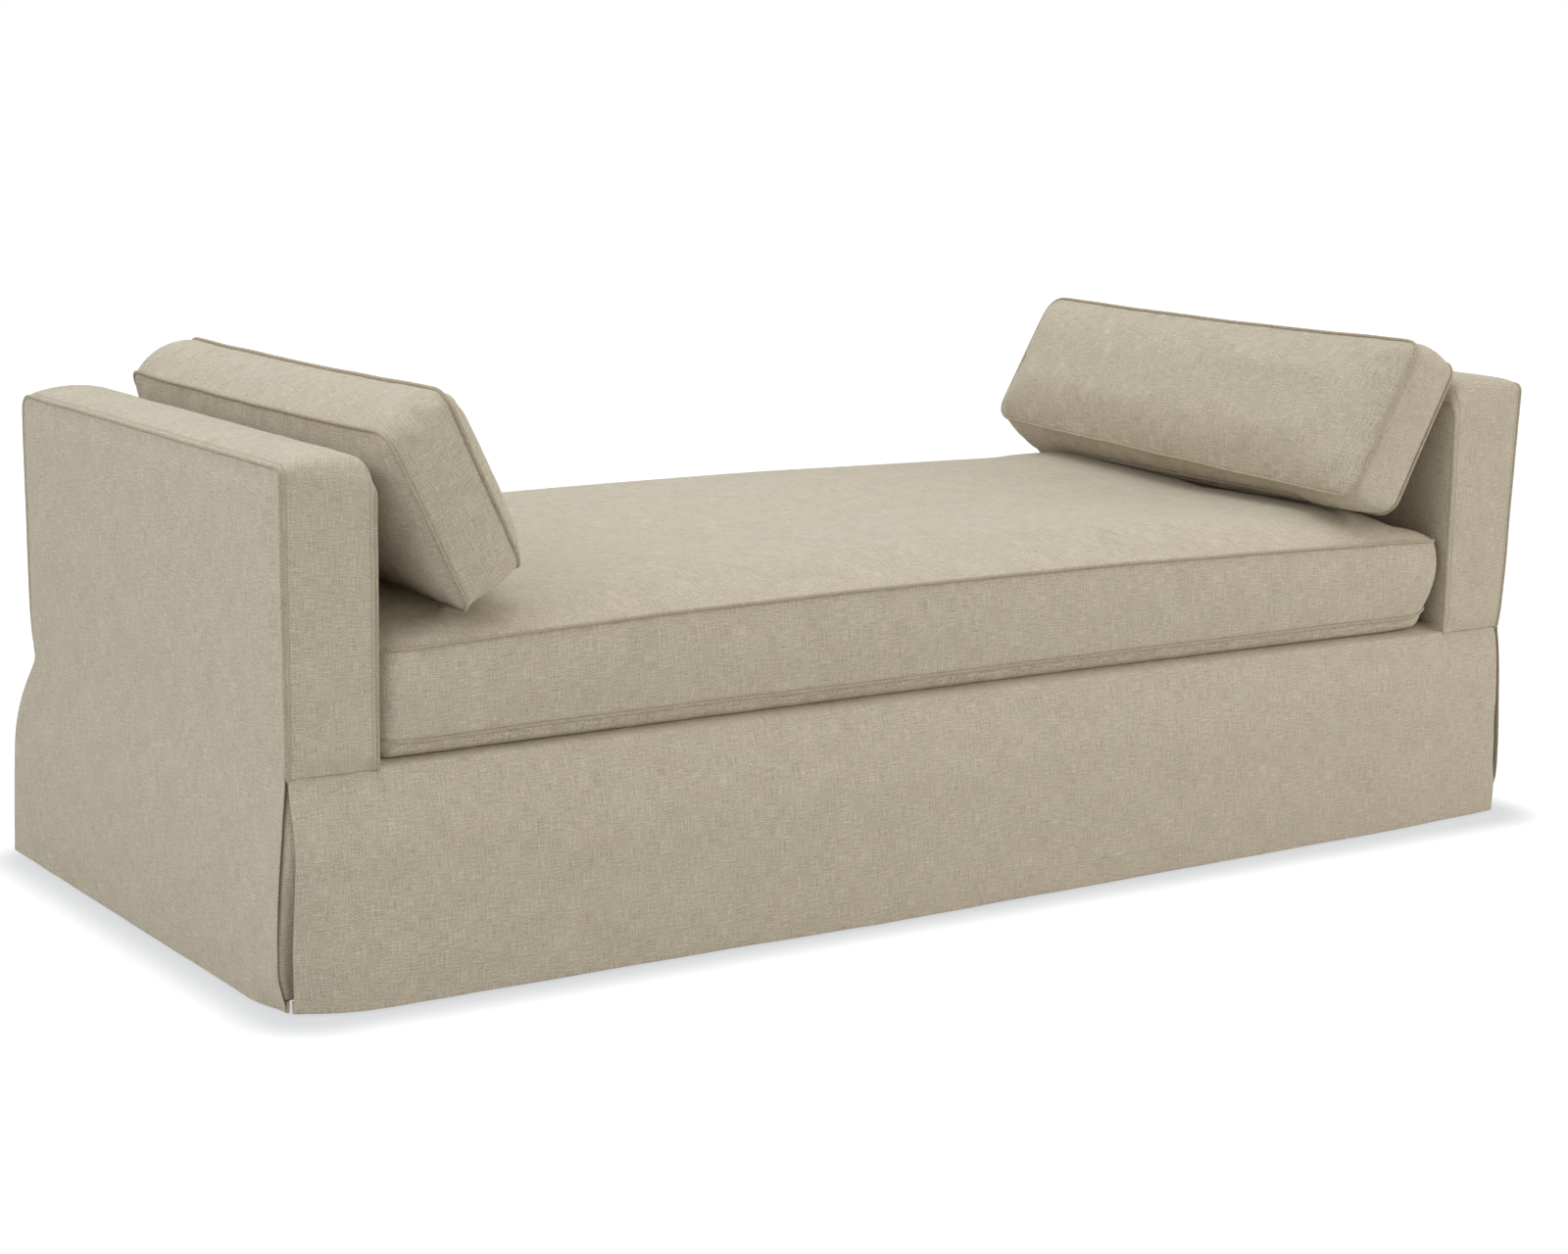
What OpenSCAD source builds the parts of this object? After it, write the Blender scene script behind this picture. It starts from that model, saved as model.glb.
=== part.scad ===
// Backless divan: a loose-covered bench with two square arms, one boxed seat cushion
// and two boxed bolsters that lean on the arms. Millimetres, +Z up, front towards -Y.

/* [Overall] */
// Length over the two arms
body_w = 2140; // [1700:5:2500]
// Depth of the arms, front to back
body_d = 890; // [780:5:1000]
// Height of the arm's edge piping
arm_h = 700; // [640:5:760]
// Thickness of each arm
arm_t = 131; // [110:1:170]
// Height of the deck that the seat cushion lies on
deck_z = 320; // [314:1:350]
// Height of the seam where the arm's boxing ends and the skirt starts
seam_z = 308; // [290:1:310]

/* [Cover cloth] */
// Thickness of the lined cover cloth
cloth_t = 3; // [2:0.5:4]
// Radius of the piping
welt_r = 2.75; // [2:0.25:4]
// How far the piping stands proud of the cloth
welt_proud = 1; // [0.5:0.25:1.5]
// Height of the hem above the floor
hem_z = 6; // [4:1:20]
// How far the hem stands out in front of and behind the arms
skirt_out = 35; // [20:1:50]
// Extra swell of the hem at the middle of the front and back
skirt_bow = 7; // [0:1:12]
// How far the hem stands out at the two ends
end_out = 12; // [6:1:20]
// Gap at each corner's kick pleat, at the seam
pleat_gap = 5; // [4:1:10]
// Extra opening of the kick pleat at the hem
pleat_open = 16; // [10:1:24]

/* [Arms] */
// Rise of the arm's top between its pipings
arm_crown = 13; // [6:1:18]
// Radius of the arm's inner top edge
arm_round = 25; // [15:1:32]
// Radius of the arm's front and back top corners
arm_nose = 20; // [12:1:28]
// Thickness of the foam on the arm's inside
arm_foam = 20; // [12:1:26]
// Thickness of the foam on the arm's top
arm_top_foam = 22; // [14:1:30]
// Thickness of the wadding on the arm's outside, front and back
wadding_t = 10; // [6:1:14]
// Thickness of the fibreboard panels
board_t = 3; // [2:0.5:5]

/* [Frame] */
// Thickness of the frame's timber
timber_t = 28; // [22:1:34]
// Height of the seat rails
rail_h = 130; // [110:1:140]
// Height of the top of the seat rails
rail_top = 284; // [276:1:290]
// Height of the cross rails
cross_h = 100; // [70:1:105]
// Side of the triangular corner blocks
block_w = 110; // [90:1:140]
// Height of the corner blocks
block_h = 40; // [30:1:60]
// Width of a leg
leg_w = 56; // [44:1:64]
// Set-back of a leg from the frame's faces
leg_inset = 12; // [6:1:20]
// Thickness of a glide under a leg
glide_h = 6; // [4:1:10]
// Radius of a glide
glide_r = 14; // [10:1:18]
// Radius of a leg bolt
bolt_r = 4; // [3:0.5:6]
// Radius of a dowel
dowel_r = 5; // [4:0.5:6]
// Radius of a screw's shank
screw_r = 2.5; // [2:0.25:3.5]
// Clearance round a bolt, dowel or screw
hole_gap = 0.1; // [0.05:0.05:0.3]

/* [Suspension] */
// Number of springs
spring_count = 12; // [8:1:14]
// Thickness of the spring wire
wire_t = 4; // [3:0.5:5]
// Half-width of a spring's waves
spring_amp = 22; // [15:1:26]
// Number of half waves in a spring
spring_waves = 20; // [12:2:24]
// Thickness of a clip's steel
clip_t = 1.5; // [1:0.25:2]
// Width of a clip
clip_w = 20; // [14:1:26]
// Depth of a clip on the rail
clip_d = 12; // [8:1:13]
// Distance of the tie wires from the middle
tie_y = 150; // [80:5:250]
// Thickness of the insulator sheet
insulator_t = 2; // [1:0.5:3]

/* [Seat cushion] */
// Height of the boxing between the pipings, at the ends
seat_box_h = 116; // [90:1:140]
// Drop of the cushion's belly below its bottom piping, at the ends
seat_belly = 20; // [12:1:28]
// Rise of the top piping from the ends to the middle
seat_lift = 15; // [0:1:20]
// Fall of the bottom piping from the ends to the middle
seat_drop = 8; // [0:1:11]
// Crown of the cushion above its top piping
seat_crown = 35; // [20:1:45]
// Distance from the edge over which the crown rises
seat_reach = 170; // [120:5:350]
// Distance from the edge over which the belly falls
belly_reach = 110; // [60:5:160]
// Corner radius of the cushion
seat_corner_r = 26; // [16:1:40]
// How far the front pulls in between its corners
seat_draw = 7; // [0:1:12]
// Outward swell of the boxing
box_swell = 4; // [0:0.5:6]
// Gap between the cushion and the arms
seat_gap = 1; // [0.5:0.5:6]

/* [Bolsters] */
// Length of a bolster
bolster_l = 862; // [700:1:880]
// Height of a bolster
bolster_w = 265; // [220:1:300]
// Width of its boxing
bolster_t = 102; // [80:1:120]
// Swell of each face
bolster_crown = 28; // [15:1:34]
// Corner radius of a bolster
bolster_corner_r = 16; // [10:1:30]
// How far the top edge pulls in between its corners
bolster_draw = 5; // [0:1:10]
// Lean from upright
bolster_lean = 27; // [22:0.5:32]
// Gap between a bolster and the arm
bolster_gap = 1; // [0.5:0.5:4]

/* [Zips] */
// Height of the zip's coil
coil_h = 5; // [4:0.5:6]
// Thickness of the zip's coil
coil_t = 1.5; // [1:0.25:2]
// Length of a zip slider
slider_l = 14; // [10:1:20]
// Width of a zip slider
slider_w = 10; // [8:1:12]
// Thickness of a zip slider
slider_t = 4; // [3:0.5:5]
// Length of the slider's pull tab
pull_l = 26; // [18:1:34]
// Width of the pull tab
pull_w = 6; // [4:0.5:8]
// Thickness of the pull tab
pull_t = 1.5; // [1:0.25:2]

/* [Hidden] */

linen = [0.74, 0.69, 0.60];
piping = [0.70, 0.64, 0.54];
timber = [0.80, 0.66, 0.45];
board = [0.62, 0.50, 0.36];
foam = [0.95, 0.90, 0.74];
wadding = [0.95, 0.95, 0.93];
steel = [0.70, 0.71, 0.73];
nylon = [0.25, 0.23, 0.21];
lining = [0.55, 0.52, 0.47];

// Overrun of cuts
over = 5;
// Running gap between soft pieces
near = 0.3;

// Half sizes of the covered arms and of the timber frame
half_w = body_w / 2;
half_d = body_d / 2;
inner_x = half_w - arm_t;
frame_x = half_w - cloth_t - wadding_t - board_t;
frame_y = half_d - cloth_t - wadding_t;
arm_frame_x = inner_x + cloth_t + arm_foam + board_t;
arm_frame_w = frame_x - arm_frame_x;
rail_y = frame_y - timber_t;
rail_z = rail_top - rail_h;
arm_frame_top = arm_h - cloth_t - arm_top_foam;
post_top = arm_frame_top - timber_t;

// Inner ends of the cloth beside a piping, and the piping's own centre line
welt_in = 2 * welt_r - welt_proud + near;
welt_line = welt_r - welt_proud;
inner_seam_z = arm_h - arm_round - welt_r;

// Dowels: how deep each goes, and their heights on a rail as shares of its height
dowel_end = 30;
post_dowel = 20;
dowel_shares = [0.27, 0.73];
// Screws that hold an arm's top rail to its posts
screw_l = 68;
head_r = 4.5;
head_h = 4;
screw_shares = [0.25, 0.75];
// Leg bolts and glide nails
bolt_down = 40;
bolt_up = 34;
nail_r = 2;
nail_l = 15;
// Share of a leg's width left at its foot
foot_share = 0.8;
leg_x = frame_x - leg_inset - leg_w / 2;
leg_y = frame_y - leg_inset - leg_w / 2;
leg_places = [for (sx = [-1, 1], sy = [-1, 1]) [sx * leg_x, sy * leg_y]];
centre_places = [for (sy = [-1, 1]) [0, sy * leg_y]];
// Places of the cross rails as shares of the way to the arm
cross_shares = [-0.5, 0, 0.5];

// Suspension heights
wire_z = rail_top + clip_t;
insulator_z = wire_z + wire_t;
pad_z = insulator_z + insulator_t;
pad_top = deck_z - cloth_t;
// Thickness of the dust cover's thin cloth
dust_t = 1;
spring_step = 2 * (inner_x - spring_amp - timber_t) / (spring_count - 1);
spring_end = rail_y + clip_d - clip_t - wire_t / 2;
// Points in each half wave of a spring
wave_pts = 3;
roll_y = rail_y + clip_d + near;
// Radius of the roll's outer edge, as a share of its height above the seam
roll_share = 0.8;
roll_r = roll_share * (pad_top - seam_z);
deck_x = inner_x - welt_proud - near;

// Points in the curves of an arm's top and of its rounded corners
crown_pts = 8;
nose_pts = 5;
// The skirt: rows down from the seam, as shares of its drop, and where the flare ends
skirt_rows = [0, 0.06, 0.13, 0.22, 0.33, 0.5, 0.75, 1];
flare_share = 0.42;
// Columns across half of a skirt, as shares of its half-length
skirt_shares = [0, 0.17, 0.34, 0.51, 0.68, 0.8, 0.87, 0.915, 0.95, 0.975, 1];
// Columns across half of an end panel, as shares of its half-depth
panel_shares = [0, 0.3, 0.6, 0.78, 0.88, 0.95, 1];
// Rows of the end panel above the seam, as shares of its rise
rise_shares = [1, 0.985, 0.965, 0.945, 0.7, 0.35];
// The hem's corner, in plan: how far it reaches along each side and how much it turns in
turn_x = 156;
turn_y = 105;
dip_front = 39;
dip_end = 26;
// The cloth behind a kick pleat
under_r = 17;
under_grow = 108;
under_tail = 40;
under_step = 8;
under_cols = 6;

// Columns: points on a long side, a short side and a corner of a cushion's outline
long_n = 7;
short_n = 3;
seat_corner_n = 3;
bolster_corner_n = 2;
// Shares of the boxing's height at its rows: the zip lies between the middle two
seat_side_shares = [0, 0.2, 0.44, 0.56, 0.8, 1];
bolster_side_shares = [0, 0.44, 0.56, 1];
// Insets of the rows on the faces, as shares of half the cushion's width
seat_top_shares = [0.03, 0.08, 0.16, 0.3, 0.57, 0.85];
seat_bottom_shares = [0.6, 0.25, 0.1, 0.035];
bolster_face_shares = [0.1, 0.28, 0.55, 0.85];

// How far a piping's centre and its outside stand off the cushion's edge
welt_off = (welt_r + near) * sin(45);
welt_reach = welt_off + welt_r;

seat_hl = inner_x - seat_gap - welt_reach;
seat_hw = half_d - seat_gap - welt_reach - welt_proud;
seat_mid_z = deck_z + near + seat_belly + seat_box_h / 2;

// A cushion: half-length, half-width, boxing, corner radius, corner points, top crown,
// bottom belly, top reach, bottom reach, boxing swell, front draw, top lift, bottom drop
seat = [seat_hl, seat_hw, seat_box_h, seat_corner_r, seat_corner_n, seat_crown,
    seat_belly, seat_reach, belly_reach, box_swell, seat_draw, seat_lift, seat_drop];
bolster = [bolster_l / 2 - welt_off, bolster_w / 2 - welt_off,
    bolster_t - 2 * welt_off, bolster_corner_r, bolster_corner_n, bolster_crown,
    bolster_crown, bolster_w / 2, bolster_w / 2, box_swell / 2, bolster_draw, 0, 0];

function rows_of(bottom, side, top) = concat(
    [for (s = bottom) [s, 0]], [for (s = side) [0, s]], [for (s = top) [s, 1]]);
function flip(list) = [for (i = [len(list) - 1 : -1 : 0]) list[i]];
seat_rows = rows_of(seat_bottom_shares, seat_side_shares, seat_top_shares);
bolster_rows = rows_of(flip(bolster_face_shares), bolster_side_shares, bolster_face_shares);
seat_slit_row = len(seat_bottom_shares) + 2;
bolster_slit_row = len(bolster_face_shares) + 1;

// Outline of a cushion with rounded corners, from its front left round to the right
function outline(l, w, r, n, draw) = concat(
    [for (i = [0 : long_n]) let (x = (l - r) * (2 * i / long_n - 1))
        [x, -w + draw * (1 - pow(x / (l - r), 2))]],
    [for (k = [1 : n - 1]) [l - r + r * sin(90 * k / n), -(w - r) - r * cos(90 * k / n)]],
    [for (i = [0 : short_n]) [l, (w - r) * (2 * i / short_n - 1)]],
    [for (k = [1 : n - 1]) [l - r + r * cos(90 * k / n), w - r + r * sin(90 * k / n)]],
    [for (i = [0 : long_n]) [(l - r) * (1 - 2 * i / long_n), w]],
    [for (k = [1 : n - 1]) [-(l - r) - r * sin(90 * k / n), w - r + r * cos(90 * k / n)]],
    [for (i = [0 : short_n]) [-l, (w - r) * (1 - 2 * i / short_n)]],
    [for (k = [1 : n - 1]) [-(l - r) - r * cos(90 * k / n), -(w - r) - r * sin(90 * k / n)]]);
function inset_outline(c, inset) = outline(c[0] - inset, c[1] - inset,
    c[3] * (1 - inset / c[1]), c[4], c[10] * (1 - inset / c[1]));

// Share of the crown reached at a distance from the edge; a higher power rises sooner
crown_power = 2.5;
function crown_at(d, reach) = d < reach ? 1 - pow(1 - d / reach, crown_power) : 1;
function bow(c, x) = 1 - pow(x / c[0], 2);
// Height of a cushion's piping line at x, on its top (1) or bottom (0)
function edge_z(c, side, x) = c[2] * (side - 0.5)
    + (side * c[11] - (1 - side) * c[12]) * bow(c, x);
// Height of a cushion's surface: side is 0 on the bottom, 1 on the top, between on the boxing
function skin_z(c, side, x, d) = side == 1 ? edge_z(c, 1, x) + c[5] * crown_at(d, c[7])
    : side == 0 ? let (g = crown_at(d, c[8]))
        edge_z(c, 0, x) * (1 - g) - (c[2] / 2 + c[6]) * g
    : edge_z(c, 0, x) * (1 - side) + edge_z(c, 1, x) * side;
// One row of points round a cushion: row is [inset share, side], skin an inward offset
function row_pts(c, row, skin) = let (
    d = row[0] * c[1], swell = 4 * c[9] * row[1] * (1 - row[1]),
    sink = row[1] == 1 ? -skin : row[1] == 0 ? skin : 0)
    [for (p = inset_outline(c, d - swell + skin)) [p[0], p[1], skin_z(c, row[1], p[0], d) + sink]];
function skin_rows(c, rows, skin) = [for (row = rows) row_pts(c, row, skin)];

// Places of the back long side in an outline, and the stretch of it that the zip takes
function back_start(c) = long_n + short_n + 2 * c[4];
function zip_from(c) = back_start(c) + 1;
function zip_to(c) = back_start(c) + long_n - 1;

function flat(rows) = [for (row = rows, p = row) p];
function turn_over(faces) = [for (f = faces) [f[0], f[2], f[1]]];
function shift(faces, n) = [for (f = faces) [for (v = f) v + n]];
// Two triangles for four corners given clockwise from outside
function quad(a, b, c, d) = [[a, b, c], [a, c, d]];

// Side faces of stacked closed rows, leaving out a slit in one of them
function band_faces(n, m, slit_row, from, to) = [for (k = [0 : m - 2], i = [0 : n - 1])
    if (!(k == slit_row && i >= from && i < to))
        each quad(k * n + i, (k + 1) * n + i, (k + 1) * n + (i + 1) % n, k * n + (i + 1) % n)];
function end_faces(n, m, low, high) = concat(
    [for (i = [0 : n - 1]) [low, i, (i + 1) % n]],
    [for (i = [0 : n - 1]) [high, (m - 1) * n + (i + 1) % n, (m - 1) * n + i]]);
function middle(row) = [0, 0, row[long_n / 2 - 0.5][2]];

// A solid through stacked closed rows of points
module loft(rows) {
    n = len(rows[0]);
    m = len(rows);
    polyhedron(concat(flat(rows), [middle(rows[0]), middle(rows[m - 1])]),
        concat(band_faces(n, m, -1, 0, 0), end_faces(n, m, n * m, n * m + 1)));
}

// A cushion's cover: its outside and its inside, joined round the slit for the zip
module cushion_cover(c, rows, slit_row) {
    outside = skin_rows(c, rows, 0);
    inside = skin_rows(c, rows, cloth_t);
    n = len(outside[0]);
    m = len(rows);
    from = zip_from(c);
    to = zip_to(c);
    one = n * m + 2;
    faces = concat(band_faces(n, m, slit_row, from, to), end_faces(n, m, n * m, n * m + 1));
    low = slit_row * n;
    high = low + n;
    walls = concat(
        [for (i = [from : to - 1]) each quad(low + i + 1, low + i, one + low + i, one + low + i + 1)],
        [for (i = [from : to - 1])
            each quad(high + i, high + i + 1, one + high + i + 1, one + high + i)],
        quad(low + from, high + from, one + high + from, one + low + from),
        quad(high + to, low + to, one + low + to, one + high + to));
    polyhedron(
        concat(flat(outside), [middle(outside[0]), middle(outside[m - 1])],
            flat(inside), [middle(inside[0]), middle(inside[m - 1])]),
        concat(faces, shift(turn_over(faces), one), walls));
}

function unit(v) = v / norm(v);
// Rings of a round cord along a path; ref is a direction that the path stays square to
function cord_ring(at, along, ref, r, sides) = let (
    a = unit(cross(along, ref)), b = unit(cross(a, along)))
    [for (q = [0 : sides - 1]) at + r * (a * cos(360 * q / sides) + b * sin(360 * q / sides))];

// A piping cord; a closed one joins its own start
module welt(path, ref, closed) {
    n = len(path);
    sides = 6;
    rings = [for (i = [0 : n - 1]) let (
        before = closed ? path[(i + n - 1) % n] : path[max(0, i - 1)],
        after = closed ? path[(i + 1) % n] : path[min(n - 1, i + 1)])
        cord_ring(path[i], after - before, ref, welt_r, sides)];
    spans = closed ? n : n - 1;
    polyhedron(flat(rings), concat(
        [for (i = [0 : spans - 1], q = [0 : sides - 1]) let (
            j = (i + 1) % n, p = (q + 1) % sides)
            each quad(i * sides + q, j * sides + q, j * sides + p, i * sides + p)],
        closed ? [] : [for (q = [1 : sides - 2]) [0, q, q + 1]],
        closed ? [] : [for (q = [1 : sides - 2])
            [(n - 1) * sides, (n - 1) * sides + q + 1, (n - 1) * sides + q]]));
}

// The piping round a cushion's top (1) or bottom (0)
module cushion_welt(c, side) {
    way = 2 * side - 1;
    welt([for (p = inset_outline(c, -welt_off))
        [p[0], p[1], edge_z(c, side, p[0]) + way * welt_off]], [0, 0, 1], true);
}

// A sheet of cloth between two grids of points, each row from left to right seen from outside
module sheet(front, back) {
    nr = len(front);
    nc = len(front[0]);
    one = nr * nc;
    function at(r, c) = r * nc + c;
    faces = [for (r = [0 : nr - 2], c = [0 : nc - 2])
        each quad(at(r, c), at(r, c + 1), at(r + 1, c + 1), at(r + 1, c))];
    rim = concat(
        [for (c = [0 : nc - 2]) [at(0, c + 1), at(0, c)]],
        [for (c = [0 : nc - 2]) [at(nr - 1, c), at(nr - 1, c + 1)]],
        [for (r = [0 : nr - 2]) [at(r, 0), at(r + 1, 0)]],
        [for (r = [0 : nr - 2]) [at(r + 1, nc - 1), at(r, nc - 1)]]);
    polyhedron(concat(flat(front), flat(back)),
        concat(faces, shift(turn_over(faces), one),
            [for (e = rim) each quad(e[0], e[1], e[1] + one, e[0] + one)]));
}

// A box between two corners
module block(low, high) {
    translate(low) cube(high - low);
}

module both_ends() {
    children();
    mirror([1, 0, 0]) children();
}

module both_sides() {
    children();
    mirror([0, 1, 0]) children();
}

module rod(r, l) {
    cylinder(r = r, h = l, $fn = 32);
}

// Dowels across the joint of a rail's end and a post, along X or along Y
module rail_joint_pins(r, short) {
    for (s = dowel_shares) {
        translate([arm_frame_x - dowel_end + short, rail_y + timber_t / 2, rail_z + s * rail_h])
            rotate([0, 90, 0]) rod(r, 2 * (dowel_end - short));
        translate([frame_x - timber_t / 2, rail_y - dowel_end + short, rail_z + s * rail_h])
            rotate([-90, 0, 0]) rod(r, dowel_end + post_dowel - 2 * short);
    }
}

module all_pins(r, short) {
    both_ends() both_sides() rail_joint_pins(r, short);
}

module front_rail() {
    color(timber) difference() {
        block([-arm_frame_x, -frame_y, rail_z], [arm_frame_x, -rail_y, rail_top]);
        all_pins(dowel_r + hole_gap, 0);
    }
}

module back_rail() {
    rotate([0, 0, 180]) front_rail();
}

module end_rails() {
    color(timber) both_ends() difference() {
        block([frame_x - timber_t, -rail_y, rail_z], [frame_x, rail_y, rail_top]);
        both_sides() rail_joint_pins(dowel_r + hole_gap, 0);
    }
}

module bolt_holes(places) {
    for (p = places) translate([p[0], p[1], rail_z - bolt_down])
        rod(bolt_r + hole_gap, bolt_down + bolt_up);
}

module cross_rails() {
    color(timber) difference() {
        for (s = cross_shares)
            block([s * arm_frame_x - timber_t / 2, -rail_y, rail_z],
                [s * arm_frame_x + timber_t / 2, rail_y, rail_z + cross_h]);
        bolt_holes(centre_places);
    }
}

module corner_blocks() {
    x = frame_x - timber_t;
    color(timber) difference() {
        both_ends() both_sides() translate([0, 0, rail_z]) linear_extrude(block_h)
            polygon([[x, rail_y], [x - block_w, rail_y], [x, rail_y - block_w]]);
        bolt_holes(leg_places);
    }
}

// Screws down through an arm's top rail into its posts
module arm_screw_set(r, h_r, gap) {
    both_sides() for (s = screw_shares)
        translate([arm_frame_x + s * arm_frame_w, rail_y + timber_t / 2, arm_frame_top]) {
            translate([0, 0, -screw_l - gap]) rod(r, screw_l + gap);
            translate([0, 0, -head_h]) rod(h_r, head_h + gap);
        }
}

module right_arm_posts() {
    color(timber) difference() {
        both_sides() block([arm_frame_x, rail_y, rail_z], [frame_x, frame_y, post_top]);
        both_sides() rail_joint_pins(dowel_r + hole_gap, 0);
        arm_screw_set(screw_r + hole_gap, head_r + hole_gap, hole_gap);
    }
}

module left_arm_posts() {
    mirror([1, 0, 0]) right_arm_posts();
}

module right_arm_top_rail() {
    color(timber) difference() {
        block([arm_frame_x, -frame_y, post_top], [frame_x, frame_y, arm_frame_top]);
        arm_screw_set(screw_r + hole_gap, head_r + hole_gap, hole_gap);
    }
}

module left_arm_top_rail() {
    mirror([1, 0, 0]) right_arm_top_rail();
}

module arm_inner_rails() {
    color(timber) both_ends()
        block([arm_frame_x, -rail_y, rail_top - timber_t], [arm_frame_x + timber_t, rail_y, deck_z]);
}

module right_arm_boards() {
    color(board) {
        block([arm_frame_x - board_t, -frame_y, rail_top],
            [arm_frame_x, frame_y, arm_frame_top]);
        block([frame_x, -frame_y, rail_z], [frame_x + board_t, frame_y, arm_frame_top]);
    }
}

module left_arm_boards() {
    mirror([1, 0, 0]) right_arm_boards();
}

module rail_dowels() {
    color(timber) all_pins(dowel_r, hole_gap);
}

module arm_screws() {
    color(steel) both_ends() arm_screw_set(screw_r, head_r, 0);
}

// A square leg, narrower at its foot, with holes for its bolt and its glide's nail
module leg(p) {
    h = rail_z - glide_h;
    foot = foot_share * leg_w;
    difference() {
        translate([p[0], p[1], glide_h]) intersection() {
            translate([0, leg_w / 2, 0]) rotate([90, 0, 0]) linear_extrude(leg_w) polygon(
                [[-foot / 2, 0], [foot / 2, 0], [leg_w / 2, h], [-leg_w / 2, h]]);
            translate([-leg_w / 2, 0, 0]) rotate([90, 0, 90]) linear_extrude(leg_w) polygon(
                [[-foot / 2, 0], [foot / 2, 0], [leg_w / 2, h], [-leg_w / 2, h]]);
        }
        bolt_holes([p]);
        translate([p[0], p[1], 0]) rod(nail_r + hole_gap, glide_h + nail_l + hole_gap);
    }
}

module corner_legs() {
    color(timber) for (p = leg_places) leg(p);
}

module centre_legs() {
    color(timber) for (p = centre_places) leg(p);
}

module leg_bolts() {
    color(steel) for (p = concat(leg_places, centre_places))
        translate([p[0], p[1], rail_z - bolt_down + hole_gap])
            rod(bolt_r, bolt_down + bolt_up - 2 * hole_gap);
}

module glides() {
    color(nylon) for (p = concat(leg_places, centre_places)) translate([p[0], p[1], 0]) {
        rod(glide_r, glide_h);
        rod(nail_r, glide_h + nail_l);
    }
}

// Middle line of a zigzag spring, from front to back
function wave(s) = [spring_amp * sin(180 * spring_waves * s), spring_end * (2 * s - 1)];

module spring_wire() {
    n = spring_waves * wave_pts;
    line = [for (i = [0 : n]) wave(i / n)];
    sides = [for (i = [0 : n]) let (
        t = unit(line[min(n, i + 1)] - line[max(0, i - 1)])) [-t[1], t[0]] * wire_t / 2];
    linear_extrude(wire_t) polygon(concat(
        [for (i = [0 : n]) line[i] + sides[i]], [for (i = [n : -1 : 0]) line[i] - sides[i]]));
}

function spring_x(i) = (i - (spring_count - 1) / 2) * spring_step;

module sinuous_springs() {
    color(steel) for (i = [0 : spring_count - 1])
        translate([spring_x(i), 0, wire_z]) spring_wire();
}

// A bent steel clip on a rail, open towards the seat, that holds a spring's end
module spring_clips() {
    h = 2 * clip_t + wire_t;
    color(steel) for (i = [0 : spring_count - 1]) both_sides()
        translate([spring_x(i) - clip_w / 2, rail_y, rail_top]) rotate([90, 0, 90])
            linear_extrude(clip_w) polygon([[0, 0], [clip_d, 0], [clip_d, h], [0, h],
                [0, h - clip_t], [clip_d - clip_t + near / 2, h - clip_t],
                [clip_d - clip_t + near / 2, clip_t], [0, clip_t]]);
}

module spring_ties() {
    l = spring_x(spring_count - 1) + spring_amp;
    color(steel) both_sides()
        translate([-l, tie_y, wire_z - wire_t / 2]) rotate([0, 90, 0]) rod(wire_t / 2, 2 * l);
}

module insulator_sheet() {
    color(lining) block([-deck_x, -rail_y + near, insulator_z], [deck_x, rail_y - near, pad_z]);
}

module deck_pad() {
    color(foam) block([-deck_x, -roll_y + near, pad_z], [deck_x, roll_y - near, pad_top]);
}

// Section of the deck above the seam: a flat top with a rounded edge at each side
module deck_section(y, top, r) {
    intersection() {
        union() {
            translate([-y, seam_z]) square([2 * y, top - r - seam_z]);
            translate([-y + r, seam_z]) square([2 * (y - r), top - seam_z]);
            for (side = [-1, 1]) translate([side * (y - r), top - r]) circle(r = r, $fn = 48);
        }
        translate([-y, seam_z]) square([2 * y, top]);
    }
}

module along_deck() {
    translate([-deck_x, 0, 0]) rotate([90, 0, 90]) linear_extrude(2 * deck_x) children();
}

// A felt roll along the front and the back rail, under the deck's edge
module edge_rolls() {
    color(wadding) along_deck() {
        difference() {
            deck_section(half_d - cloth_t, pad_top, roll_r);
            translate([-roll_y, seam_z - over]) square([2 * roll_y, pad_top]);
        }
        for (y = [-frame_y, roll_y]) translate([y, rail_top])
            square([frame_y - roll_y, seam_z - rail_top]);
    }
}

// The deck's cloth, turned down over the front and back edges to the seam
module deck_cover() {
    color(linen) along_deck() difference() {
        deck_section(half_d, deck_z, roll_r + cloth_t);
        deck_section(half_d - cloth_t, pad_top, roll_r);
    }
}

function arc(x, y, r, from, to, n) = [for (k = [0 : n]) let (a = from + (to - from) * k / n)
    [x + r * cos(a), y + r * sin(a)]];

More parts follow.
